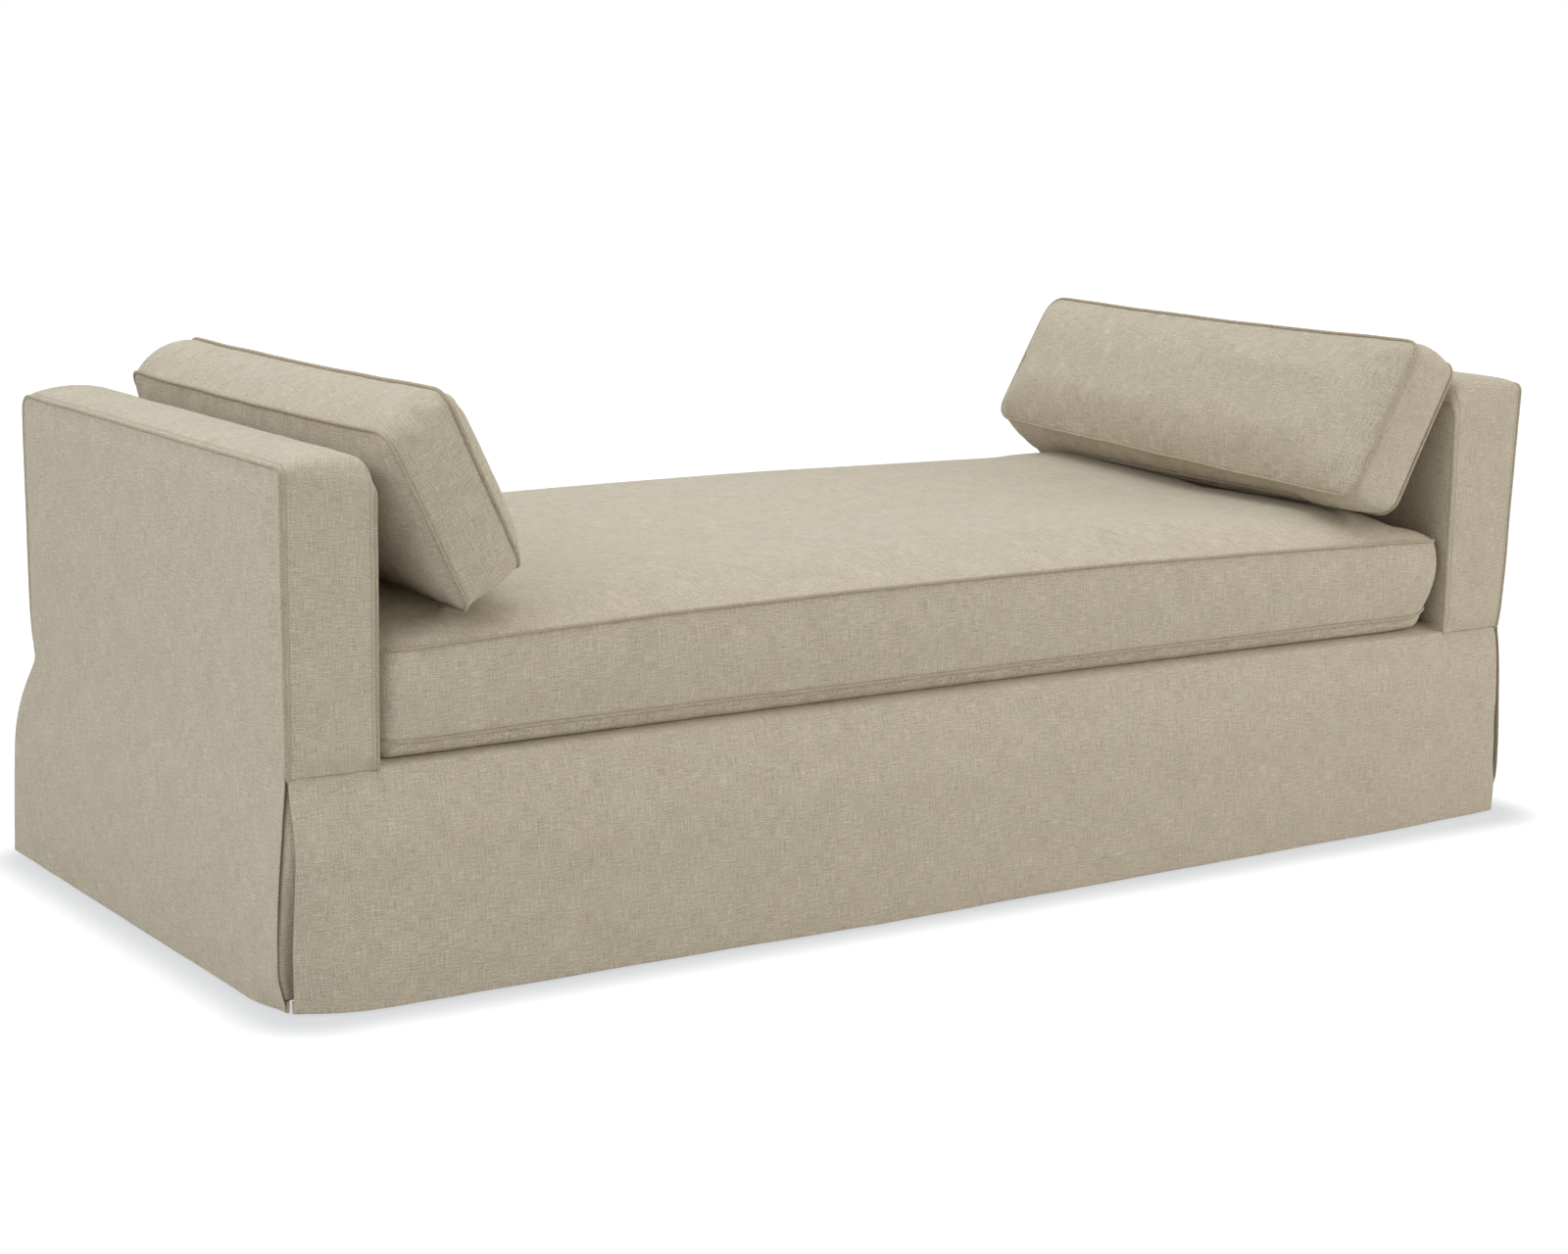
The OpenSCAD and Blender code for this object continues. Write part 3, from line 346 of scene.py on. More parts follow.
f = Finish("open_cell_foam")
place = f.object_place()
cells = f.node("ShaderNodeTexVoronoi", {}, {"Vector": place, "Scale": 620.0})
ageing = f.noise(place, 5.0, 3.0)
colour = f.mixed(ageing, (0.78, 0.66, 0.38, 1), (0.86, 0.78, 0.54, 1))
foam = f.wear(colour, 0.9 - 0.1 * cells, cells, 0.0008)

f = Finish("fibre_wadding")
place = f.object_place()
tufts = f.noise(place, 90.0, 5.0, 0.75)
strands = f.noise(f.stretched(place, (1, 14, 1), (0, 0, 0.6)), 70.0, 3.0)
colour = f.mixed(tufts, (0.62, 0.61, 0.58, 1), (0.88, 0.88, 0.86, 1))
wadding = f.wear(colour, 0.95 - 0.1 * tufts, tufts * 0.7 + strands * 0.3, 0.002, Sheen_Weight=0.2)

fills = {}
for name, node, body, slot, material, voxel, ease, lumps, lump_size, fill in (
        ("deck_foam", "deck_pad", "base", "foam", foam, 0.009, 3, 0.0008, 0.10, 0.8),
        ("felt_edge_rolls", "edge_rolls", "base", "wadding", wadding, 0.006, 3, 0.0010, 0.04, 0.9),
        ("cushion_foam", "seat_foam_core", "seat_cushion", "foam", foam, 0.012, 3, 0.0008, 0.12, 0.9),
        ("cushion_fibre", "seat_fibre_layers", "seat_cushion", "wadding", wadding,
         0.010, 4, 0.0020, 0.06, 0.5),
        ("left_bolster_fibre", "left_bolster_fill", "left_bolster", "wadding", wadding,
         0.010, 6, 0.0020, 0.05, 0.6),
        ("right_bolster_fibre", "right_bolster_fill", "right_bolster", "wadding", wadding,
         0.010, 6, 0.0020, 0.05, 0.6)):
    piece = softened(name, node, voxel, ease, lumps, lump_size)
    fills.setdefault(body, []).append(piece)
    fitted(piece, material, node, body)


# Deck cover: one cloth over the foam and the edge rolls, turned down over the front and
# back edges to the seam, where the skirts are sewn to it. The cushion hides most of it.
def slope(low, high, value):
    """From 0 at low to 1 at high, leaving both evenly."""
    share = min(1.0, max(0.0, (value - low) / (high - low)))
    return share * share * (3 - 2 * share)


def ripple(x, y, z, scale=1):
    return noise.noise(Vector((x, y, z)) * scale)


thread_width, stitch_length = 0.00095, 0.0036


def cloth_finish(name, dark, pale, rosy, bias=False, stitch=None):
    """Plain-weave linen on a cut map in metres: the threads, slubs both ways and clouds.
    A stitch line follows a second map, which holds the distance from that line; beside it the cloth is
    darkened as painted shade in the stitches' groove."""
    f = Finish(name)
    cut = f.node("ShaderNodeUVMap", {"uv_map": "cut"})
    if bias:
        cut = f.stretched(cut, (1, 1, 1), (0, 0, math.pi / 4))
    drift = f.noise(cut, 45.0, 2.0)
    parts = f.node("ShaderNodeSeparateXYZ", {}, {0: cut})
    along = Value(f, parts.socket.node.outputs[0]) + drift * 0.0016
    down = Value(f, parts.socket.node.outputs[1]) + drift * 0.0013
    thread = math.pi / thread_width
    warp, weft = f.maths("SINE", along * thread), f.maths("SINE", down * thread)
    over = f.maths("GREATER_THAN", warp * weft)
    rise, fall = f.maths("ABSOLUTE", warp), f.maths("ABSOLUTE", weft)
    weave = rise ** (0.35 + 0.45 * over) * fall ** (0.8 - 0.45 * over)
    across = f.noise(f.stretched(cut, (42, 760, 1)), 1.0, 3.0, 0.6)
    upright = f.noise(f.stretched(cut, (700, 38, 1)), 1.0, 3.0, 0.6)
    slubs = f.ranged(across, 0.57, 0.74) + 0.7 * f.ranged(upright, 0.59, 0.76)
    speckle = f.noise(cut, 560.0, 2.0, 0.7)
    patches = f.noise(cut, 17.0, 3.0)
    tone = (across * 1.25 + upright * 1.15 + speckle * 2.05 + patches * 0.26 + slubs * 0.12
            + weave * 0.12 - 1.96)
    clouds = f.ranged(f.noise(cut, 12.0) * 0.12 + f.noise(cut, 60.0) * 0.26 + f.noise(cut, 300.0) * 0.62,
                      0.40, 0.60)
    colour = f.mixed(tone, dark, pale)
    colour = f.mixed(clouds, colour, f.mixed(1.0, colour, rosy, "MULTIPLY"))
    height = weave * 0.55 + slubs * 0.5 + across * 0.25 + upright * 0.2
    if stitch:
        line = f.node("ShaderNodeUVMap", {"uv_map": "stitch"})
        parts = f.node("ShaderNodeSeparateXYZ", {}, {0: line})
        run = Value(f, parts.socket.node.outputs[0])
        off = f.maths("ABSOLUTE", Value(f, parts.socket.node.outputs[1]))
        gap = f.maths("GREATER_THAN", f.maths("FRACT", run * (1 / stitch_length)), 0.26)
        groove_shade = f.ranged(off, 0.0004, 0.0019, 1.0, 0.0)
        yarn = f.ranged(off, 0.0003, 0.0006, 1.0, 0.0) * gap
        # Painted shade: the groove beside the stitch line is darkened, by the share that stitch gives.
        colour = f.mixed(groove_shade * stitch, colour, [c * 0.45 for c in dark[:3]] + [1])
        colour = f.mixed(yarn * 0.8, colour, pale)
        height = height - groove_shade * 2.2 + yarn * 2.0
    return f.wear(colour, 0.92 - 0.10 * weave, height, 0.00022, 0.55,
                  Sheen_Weight=0.12, Sheen_Roughness=0.5, Specular_IOR_Level=0.25)


flax = (0.345, 0.311, 0.222, 1), (0.71, 0.652, 0.528, 1), (1.040, 0.965, 0.955, 1)
linen = cloth_finish("linen", *flax)
# The stitch share sets how dark the painted shade in the stitches' groove is.
linen_stitched = cloth_finish("linen_stitched", *flax, stitch=0.55)
linen_hemmed = cloth_finish("linen_hemmed", *flax, stitch=0.22)
# The piping's linen is darker than the covers': painted shade that stands for the shading lines beside the
# cords.
piping = cloth_finish("linen_piping_shaded", (0.285, 0.245, 0.160, 1), (0.60, 0.535, 0.405, 1), flax[2],
                      bias=True)

# The linen's thickness, and the height of the seam that joins covers and skirts.
cloth, seam_z = 0.0012, 0.308
low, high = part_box("deck_cover")
deck_top, deck_half = high.z - 0.0006, high.y
# The deck's edge, pressed down by the cushion: how far out, and how high.
deck_edge = [(0.4385, 0.3045), (0.4375, 0.3070), (0.4340, 0.3087), (0.4270, 0.3104), (0.4180, 0.3124),
             (0.4080, 0.3146), (0.3980, 0.3167), (0.3880, 0.3183), (0.3780, 0.3191), (0.3680, deck_top)]
deck_rows = [(-y, z) for y, z in deck_edge]
deck_rows += [(y, deck_top) for y in evenly(-0.350, 0.350, 36)]
deck_rows += [(-y, z) for y, z in reversed(deck_rows[:10])]


def deck_point(x, row):
    y, z = row
    dent = 0.0006 * ripple(x, y, 0, 9) * slope(0.40, 0.34, abs(y))
    return Vector((x, y, z - 0.0006 + dent))


deck = grid_cloth("deck_cloth", evenly(low.x, high.x, 110), deck_rows, deck_point, (0, 0, 1))
thicken(deck, cloth)
fitted(deck, linen, "deck_cover", "base")


def between(line, value):
    """The value that a falling or rising line of points has at one place."""
    if (value - line[0][0]) * (line[-1][0] - line[0][0]) <= 0:
        return line[0][1]
    for (a, low), (b, high) in zip(line, line[1:]):
        if (value - a) * (value - b) <= 0:
            return low + (high - low) * (value - a) / (b - a)
    return line[-1][1]


for piece in fills["base"]:
    for v in piece.data.vertices:
        v.co.z = min(v.co.z, between(deck_edge, abs(v.co.y)) - 0.0022)


# Arms: a band of linen goes up the front, over the top and down the back, an end panel
# hangs outside it and an inside panel within. All are sewn to piped seams over wadding,
# and stapled under the rails. The corners draw in over the skirt.
hem_z = 0.0045
# The arm's outer and inner face, and how deep its bands and its inside panel reach.
arm_out, arm_in, arm_deep, inner_deep = 1.0662, 0.9412, 0.4438, 0.4415
# The seed shifts noise_vector, so it is set: the wander is then the same in each run.
noise.seed_set(1)


def wander(p, size, amount):
    return noise.noise_vector(p / size) * amount


def flare(t):
    return math.sin(math.pi / 2 * min(1.0, t / 0.42)) if t > 0 else 0.0


def corner_draw(p):
    """A point of the covers near an arm, drawn in where two seams meet over the skirt."""
    above = p.z - seam_z
    amount = 0.0065 if p.y > 0 else 0.0025
    amount *= math.exp(-above / 0.032) if above > 0 else max(0.0, 1 + above / 0.06) ** 2
    aside, ahead = max(0.0, 1.070 - abs(p.x)), max(0.0, 0.445 - abs(p.y))
    near_x, near_y = math.exp(-(aside / 0.075) ** 2), math.exp(-(ahead / 0.075) ** 2)
    p.x -= math.copysign(amount * near_x * near_y, p.x)
    p.y -= math.copysign(amount * near_x * near_y, p.y)
    return p + wander(p, 0.09, 0.0007) + wander(p, 0.035, 0.0003)


def eased(points, passes):
    """The points of a line, smoothed between its ends."""
    for _ in range(passes):
        middle = [(a + 2 * b + c) / 4 for a, b, c in zip(points, points[1:], points[2:])]
        points = [points[0], *middle, points[-1]]
    return points


def spaced(points, count):
    """The same line in steps of equal length."""
    reach = [0.0]
    for a, b in zip(points, points[1:]):
        reach.append(reach[-1] + (b - a).length)
    line, k = [], 0
    for want in evenly(0.0, reach[-1], count):
        while k < len(points) - 2 and reach[k + 1] < want:
            k += 1
        share = (want - reach[k]) / max(1e-9, reach[k + 1] - reach[k])
        line.append(points[k].lerp(points[k + 1], share))
    return line


band_columns = 24
# Across the arm's top, from the outer seam over the crown and round the inner edge.
crown = [Vector((1.0662 - 0.0957 * (k / 40) ** 1.3, 0, 0)) for k in range(41)]
for p in crown:
    p.z = 0.7001 + 0.0135 * (1 - ((p.x - 1.0045) / 0.0655) ** 2) - 0.0020 * slope(1.0590, 1.0662, p.x)
crown += [Vector((0.9705 - 0.0308 * math.sin(a), 0, crown[40].z - 0.0308 * (1 - math.cos(a))))
          for a in (math.radians(4 + 86 * k / 12) for k in range(1, 13))]
crown.append(Vector((arm_in - 0.0010, 0, 0.6745)))
band_top = spaced(eased(crown, 6), band_columns)
band_front = [Vector((arm_out + (arm_in - arm_out) * v, arm_deep + 0.0034 * (1 - abs(2 * v - 1) ** 3), 0))
              for v in evenly(0, 1, band_columns)]


def band_point(k, s):
    """A point of the band: k across from the outer seam, s from 0 to 5 up, over and down."""
    q, end = (5 - s, 1) if s > 2.5 else (s, -1)
    v = k / band_columns
    top, front = band_top[k], band_front[k]
    r = (0.012 if end < 0 else 0.026) * (1 - v) + 0.017 * v + 0.074 * v * (1 - v)
    turn = min(1.0, max(0.0, q - 1))
    x = front.x + (top.x - front.x) * slope(0, 1, turn)
    deep = front.y
    if q <= 1:
        z = seam_z - 0.0012 + (top.z - r - seam_z + 0.0012) * q
        pinch = 0.0052 * slope(0.019, 0.0, z - seam_z) - 0.0012 * math.exp(-((z - 0.335) / 0.014) ** 2)
        deep -= pinch * min(1, 9 * v * (1 - v))
    elif q <= 2:
        angle = turn * math.pi / 2
        deep, z = deep - r * (1 - math.cos(angle)), top.z - r + r * math.sin(angle)
    else:
        deep, z = (deep - r) * (1 - (q - 2) * 2), top.z
    loose = 4 * v * (1 - v)
    swell = loose * (0.0009 * ripple(x, deep * end, z, 8) + 0.0005 * ripple(x, deep * end, z, 21))
    if q < 1.5:
        crease = 0.0011 * math.exp(-((z - 0.6905) / 0.005) ** 2) * loose
        deep += swell - crease
    else:
        z += swell
    return Vector((x, deep * end, z))


band_levels = evenly(0, 0.05, 3) + evenly(0.05, 1, 24)[1:] + evenly(1, 2, 9)[1:] + evenly(2, 2.5, 30)[1:]
band_levels += [5 - q for q in reversed(band_levels[:-1])]


stitch_in, hem_deep = 0.0075, 0.036


def stitched(piece, place):
    """Adds a map that holds the run along a stitch line and the distance from it."""
    mesh = piece.data
    layer = mesh.uv_layers.new(name="stitch")
    for loop in mesh.loops:
        layer.data[loop.index].uv = place(mesh.vertices[loop.vertex_index].co)
    mesh.uv_layers.active_index = 0


# How the cut edges are folded: steps of the way beyond the edge, and of the depth behind.
fold = [(0.0, 0.0), (0.0008, 0.0004), (0.0012, 0.0014), (0.0008, 0.0024), (-0.0030, 0.0029),
        (-0.0150, 0.0031)]


def folded(values, both=True):
    """Values with the steps of a fold added at the last, and at the first."""
    steps = [(values[-1], k) for k in range(1, 6)]
    start = [(values[0], k) for k in range(5, 0, -1)] if both else []
    return start + [(value, 0) for value in values] + steps


panel_top = 0.6965


def panel_reach(z, radius):
    """How deep an end panel is at a height, by the rounding of its top corner."""
    round_off = max(0.0, z - (panel_top - radius))
    return 0.4412 - (radius - math.sqrt(max(0.0, radius ** 2 - round_off ** 2)))


# The back corners stand square; the front ones turn in towards the hem.
back_reach = [(0.308, 0.0), (0.284, 0.008), (0.261, 0.018), (0.237, 0.030), (0.214, 0.039),
              (0.190, 0.045), (0.140, 0.052), (0.070, 0.057), (0.004, 0.061)]


def panel_point(across, level, sign):
    """A point of an end panel: across from -1 to 1, at a height, each with its fold."""
    w, side_step = across
    z, hem_step = level
    beyond, behind = fold[side_step]
    curl = slope(0.058, 0.0, z)
    y = w * (panel_reach(z, 0.009 if w < 0 else 0.021) + beyond)
    if w > 0:
        y += between(back_reach, z) * slope(0.35, 1.0, w)
    else:
        y += 0.009 * curl * slope(0.75, 1.0, -w)
    z -= fold[hem_step][0]
    edge = min((1 - abs(w)) * 0.44, max(0.0, panel_top - z))
    pad = 0.0050 * slope(0.011, 0.032, edge) * slope(0.0, 0.14, z - seam_z + 0.02)
    foot = 0.165 - 0.075 * slope(0.55, 1.0, -w)
    out = (1.0676 + pad + 0.0024 * slope(0.42, 0.30, z)
           + (0.0120 + 0.0020 * slope(0.85, 1.0, -w)) * slope(0.350, foot, z))
    out -= 0.016 * curl * slope(0.78, 1.0, -w) ** 1.5
    out += slope(0, 0.04, edge) * (0.0014 * ripple(3 * sign, y, z, 4.5)
                                   + 0.0005 * ripple(3 * sign, y, z, 14))
    out -= behind + fold[hem_step][1]
    return Vector((out * sign, y, z))


def both_ways(values):
    """Values from 0 up, with the same below 0 in front of them."""
    return [-v for v in reversed(values[1:])] + values


panel_columns = both_ways(evenly(0.0, 0.86, 24)
                          + [0.885, 0.91, 0.93, 0.945, 0.96, 0.972, 0.982, 0.991, 1.0])
panel_levels = [panel_top, 0.6955, 0.694, 0.692, 0.689, 0.685, 0.680, 0.674, 0.667, 0.658, 0.646]
panel_levels += evenly(0.630, 0.320, 18) + evenly(0.308, 0.030, 16) + [0.020, 0.012, hem_z]


def seam_half(x, deep, top, radius):
    """The piping's line from its end, tucked in over the skirt, to the middle of the top."""
    heights = evenly(seam_z - 0.010, seam_z + 0.005, 6) + evenly(seam_z + 0.012, top - radius, 44)
    line = [Vector((x, -deep, z)) for z in heights]
    line += [Vector((x, -deep + radius * (1 - math.cos(a)), top - radius + radius * math.sin(a)))
             for a in (math.pi / 2 * k / 8 for k in range(1, 9))]
    for p in line[:7]:
        tucked = slope(seam_z + 0.003, seam_z - 0.008, p.z)
        p.x, p.y = p.x - 0.0040 * tucked, p.y + 0.0060 * tucked
    return line + [Vector((x, y, top)) for y in evenly(-deep + radius, 0, 55)[1:]]


def seam_line(x, top, radius, back_radius):
    """The line of an arm's piping: up the front, over the top and down the back."""
    back = seam_half(x, 0.44080, top, back_radius)
    return seam_half(x, 0.44325, top, radius) + [Vector((p.x, -p.y, p.z)) for p in reversed(back[:-1])]


cord_radius = 0.0026


def tube(name, line, radius, up, closed=False, sides=10):
    """Cord wrapped in cloth: a grid wound round a line, its weave set on the bias."""
    count = len(line)
    steps = count if closed else count - 1
    bm = bmesh.new()
    bmesh.ops.create_grid(bm, x_segments=steps, y_segments=sides, size=1)
    cut = bm.loops.layers.uv.new("cut")
    reach = [0.0]
    for k in range(1, steps + 1):
        reach.append(reach[-1] + (line[k % count] - line[k - 1]).length)
    rings = []
    for k in range(count):
        ahead = line[(k + 1) % count] if closed or k < count - 1 else line[k]
        before = line[k - 1] if closed or k else line[k]
        tangent = (ahead - before).normalized()
        side = tangent.cross(Vector(up)).normalized()
        way_up = side.cross(tangent).normalized()
        thick = radius * (1 + 0.05 * noise.noise(line[k] * 60))
        rings.append([line[k] + thick * (side * math.cos(a) + way_up * math.sin(a))
                      for a in (2 * math.pi * j / sides for j in range(sides))])
    spots = {v: (round((v.co.x + 1) / 2 * steps), round((v.co.y + 1) / 2 * sides)) for v in bm.verts}
    for face in bm.faces:
        for loop in face.loops:
            i, j = spots[loop.vert]
            loop[cut].uv = (reach[i], j * 2 * math.pi * radius / sides)
    for v, (i, j) in spots.items():
        v.co = rings[i % count][j % sides]
    bmesh.ops.remove_doubles(bm, verts=bm.verts, dist=0.00002)
    if not closed:
        bmesh.ops.holes_fill(bm, edges=[e for e in bm.edges if e.is_boundary], sides=sides + 1)
    bmesh.ops.recalc_face_normals(bm, faces=bm.faces)
    return finished(name, bm)


arm_lean, arm_rise = {-1: 0.0030, 1: 0.0165}, 0.39


def leaning(z, sign):
    """How far outwards an arm leans at a height above its seam."""
    return arm_lean[sign] * max(0.0, z - seam_z) / arm_rise


for side, sign in (("left", -1), ("right", 1)):
    def outside(p):
        p = corner_draw(Vector((abs(p.x), p.y, p.z)))
        return Vector(((p.x + leaning(p.z, sign) * slope(0.93, 1.06, p.x)) * sign, p.y, p.z))

    band = grid_cloth(side + "_band_cloth", list(range(band_columns + 1)), band_levels,
                      lambda k, s: outside(band_point(k, s)), (0, 0, 1), 0.3 + 0.4 * sign)

    def band_stitch(co):
        run = co.z if abs(co.y) > 0.43 else co.y
        outer = 1.0682 + leaning(co.z, sign) - abs(co.x) - stitch_in
        within = abs(co.x) - arm_in - stitch_in if abs(co.y) > 0.425 else 1.0
        return (run, min(outer, within, key=abs))

    stitched(band, band_stitch)
    thicken(band, cloth, 1)
    fitted(band, linen_stitched, side + "_arm_band", "base")

    panel = grid_cloth(side + "_end_cloth", folded(panel_columns), folded(panel_levels, False),
                       lambda a, b: outside(panel_point(a, b, sign)), (sign, 0, 0), 0.9 + sign)
    stitched(panel, lambda co: (co.y, co.z - hem_z - hem_deep if co.z < 0.2 else 1.0))
    thicken(panel, cloth, 1)
    fitted(panel, linen_hemmed, side + "_end_panel", "base")

    def inside_point(y, z):
        round_off = max(0.0, z - 0.6545)
        reach = inner_deep - 0.0165 + math.sqrt(max(0.0, 0.0165 ** 2 - round_off ** 2))
        edge = min(0.44 - abs(y), 0.671 - z)
        return outside(Vector((0.9408 - 0.0012 * slope(0.01, 0.05, edge), y * reach / inner_deep, z)))

    inner = grid_cloth(side + "_inside_cloth", evenly(-inner_deep, inner_deep, 64),
                       evenly(seam_z, 0.640, 22) + [0.648, 0.6545, 0.660, 0.665, 0.6685, 0.6705],
                       inside_point, (-sign, 0, 0), 0.2)
    thicken(inner, cloth, 1)
    fitted(inner, linen, side + "_inside_panel", "base")

    for place, line, radius in (("outer", seam_line(1.06720, 0.69890, 0.0115, 0.0225), 0.00240),
                                ("inner", seam_line(0.94075, 0.67225, 0.0180, 0.0180), cord_radius)):
        cord = tube(side + "_" + place + "_piping", [outside(p) for p in line], radius, (sign, 0.001, 0))
        fitted(cord, piping, side + "_" + place + "_welt", "base")

    pad = softened(side + "_arm_wadding", side + "_arm_padding", 0.007, 5, 0.0038, 0.05)
    for v in pad.data.vertices:
        v.co = outside(v.co.copy())
        tuck = 0.005 * slope(0.400, 0.428, abs(v.co.y)) * slope(0.61, 0.66, v.co.z)
        v.co -= Vector((0, math.copysign(tuck, v.co.y), tuck))
    fitted(pad, wadding, side + "_arm_padding", "base")


# Skirts: one cloth along the front and one along the back, sewn in under the deck's edge
# and the arms' bands. They hang in a slight flare, with their ends and hem folded under.
hem_line = [(-1.066, 0.436), (-1.059, 0.438), (-1.051, 0.449), (-1.038, 0.457), (-1.024, 0.462),
            (-1.011, 0.468), (-0.996, 0.473), (-0.982, 0.477), (-0.914, 0.480), (-0.655, 0.4815),
            (-0.400, 0.4825), (-0.186, 0.4890), (0.028, 0.4850), (0.487, 0.4765), (0.868, 0.4690),
            (1.000, 0.4590), (1.066, 0.4530)]
hip_line = [(-1.066, 0.465), (-1.051, 0.468), (-1.024, 0.472), (-0.996, 0.476), (-0.914, 0.481),
            (-0.655, 0.4820), (-0.186, 0.4870), (0.028, 0.4850), (0.487, 0.4780), (0.868, 0.4715),
            (1.000, 0.4630), (1.066, 0.4560)]


def settled(line, x):
    """How far out the front skirt's hem or hip hangs at x, evened over its neighbours."""
    return sum(between(line, x + step) for step in (-0.018, -0.009, 0, 0, 0.009, 0.018)) / 6


def skirt_depth(x, t, end):
    """How far out a skirt hangs: the front one as it has settled, the back one even."""
    if end > 0:
        hip = hem = 0.482 + 0.007 * (1 - (x / 1.07) ** 2) + 0.0025 * ripple(x * 4, 9, 0)
        hip -= 0.006 * slope(0.97, 1.06, abs(x))
    else:
        hip, hem = settled(hip_line, x), settled(hem_line, x)
    share = max(0.0, (t - 0.3) / 0.7) ** 1.2
    return 0.445 + flare(t) * (hip + (hem - hip) * share - 0.445)


# The skirt's cloth over the deck's edge, in the open and under an arm's band.
nose_open = [(0.394, 0.3200), (0.404, 0.3180), (0.414, 0.3158), (0.423, 0.3138), (0.4315, 0.3121),
             (0.4390, 0.3106), (0.4440, 0.3093), (0.4462, 0.3075)]
nose_armed = [(0.4378 + 0.0002 * k, 0.3200 - 0.0013 * k) for k in range(7)] + [(0.4396, 0.3075)]


def end_drawn(t, x):
    """How far in a skirt's end is drawn: the right ones swing out a little before that."""
    if x > 0:
        return 0.012 * slope(0.55, 1.0, t) - 0.010 * slope(0.0, 0.3, t)
    return 0.005 * slope(0.7, 1.0, t)


def skirt_point(column, row, end):
    """A point of a skirt, along it and down from the deck's edge, each with its fold."""
    c, side_step = column
    t, hem_step = row
    beyond, behind = fold[side_step]
    x = c - math.copysign(end_drawn(t, c) * slope(0.95, 1.064, abs(c)), c)
    x += beyond if c > 0 else -beyond
    open_top = slope(0.9415, 0.9365, abs(c))
    if t < 0:
        k = round((t + 0.8) * 10)
        deep, z = (a * open_top + b * (1 - open_top) for a, b in zip(nose_open[k], nose_armed[k]))
    else:
        z = seam_z - t * (seam_z - hem_z)
        top = 0.4396 + 0.0066 * open_top
        deep = skirt_depth(x, t, end) + (top - 0.445) * max(0.0, 1 - t / 0.25)
        deep += slope(0, 0.3, t) * (0.0012 * ripple(x, end * 2, z * 0.6, 7)
                                    + 0.0005 * ripple(x, end * 2, z, 18))
    gather = 0.0007 * open_top * math.exp(-((z - 0.316) / 0.012) ** 2) * ripple(x * 30, end, 0)
    deep -= behind + fold[hem_step][1] + gather
    return Vector((x, deep * end, z - fold[hem_step][0]))


skirt_columns = [1.064, 1.0605, 1.056, 1.049, 1.040, 1.030, 1.018, 1.005, 0.990, 0.975, 0.962, 0.952,
                 0.9455, 0.9415, 0.939, 0.9365, 0.930, 0.920] + evenly(0.905, 0, 46)
skirt_columns = [-x for x in skirt_columns] + skirt_columns[-2::-1]
skirt_levels = [-0.8, -0.7, -0.6, -0.5, -0.4, -0.3, -0.2, 0.0, 0.012, 0.03, 0.055, 0.085, 0.12]
skirt_levels += evenly(0.16, 0.92, 15) + [0.955, 0.98, 1.0]
for name, node, end in (("front_skirt_cloth", "front_skirt", -1), ("back_skirt_cloth", "back_skirt", 1)):
    skirt = grid_cloth(name, folded(skirt_columns), folded(skirt_levels, False),
                       lambda a, b: corner_draw(skirt_point(a, b, end)), (0, end, 0), 1.7 + end)
    stitched(skirt, lambda co: (co.x, co.z - hem_z - hem_deep if co.z < 0.2 else 1.0))
    thicken(skirt, cloth, 1)
    fitted(skirt, linen_hemmed, node, "base")


# Kick pleats: a plain cloth behind each corner's opening, sewn into the same seam, so
# that the frame doesn't show between the end panel and the skirt.
def underlay_line(t, sign, end):
    """The underlay's path at one level, behind the skirt, round the corner and the end."""
    z = seam_z - t * (seam_z - hem_z)
    reach = 1.064 - end_drawn(t, sign)
    points = []
    for x, back in ((0.905, 0.0), (0.93, 0.0), (0.96, 0.0), (0.985, 0.001), (1.005, 0.003), (1.022, 0.006),
                    (1.036, 0.009), (reach - 0.012, 0.012), (reach - 0.002, 0.012)):
        deep = skirt_depth(x * sign, t, end) - 0.0026 * max(0.0, 1 - t / 0.25)
        points.append(Vector((x, deep - 0.0047 - back * flare(t), 0)))
    edge = panel_point((end, 0), (z, 0), 1)
    points.append(Vector((edge.x - 0.0040, abs(edge.y) + 0.0008, 0)))
    for w in (0.97, 0.93, 0.89, 0.85, 0.81, 0.77, 0.73):
        point = panel_point((w * end, 0), (z, 0), 1)
        points.append(Vector((point.x - 0.0050, abs(point.y), 0)))
    return spaced(eased(spaced(points, 70), 2), 46)


for name, sign, end in (("pleat_front_left", -1, -1), ("pleat_front_right", 1, -1),
                        ("pleat_back_left", -1, 1), ("pleat_back_right", 1, 1)):
    levels = evenly(0.0, 0.955, 22)
    lines = {t: underlay_line(t, sign, end) for t in levels}

    def underlay_point(k, t):
        p = lines[t][k]
        p = corner_draw(Vector((p.x, p.y, seam_z - 0.0005 - t * (seam_z - hem_z))))
        return Vector((p.x * sign, p.y * end, p.z))

    pleat = grid_cloth(name, list(range(47)), levels, underlay_point, (sign, end, 0), 0.4)
    thicken(pleat, cloth, 1)
    fitted(pleat, linen, "pleat_underlays", "base")


# Dust cover: black felted lining stapled under the rails, cut out round the legs. It
# hangs a little between the rails.
low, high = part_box("dust_cover")
leg_side, mid_leg = 0.0563, 0.0285
leg_x, leg_y = ((reach, reach - leg_side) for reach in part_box("corner_legs")[1][:2])


def dust_point(x, y):
    sag = 0.005 * math.sin(math.pi * (x - low.x) / (high.x - low.x) * 3) ** 2 * (1 - (y / high.y) ** 2)
    held = slope(high.y - 0.03, high.y - 0.09, abs(y)) * slope(high.x - 0.03, high.x - 0.09, abs(x))
    return Vector((x, y, low.z - sag * held - 0.0004 * ripple(x, y, 1, 20)))


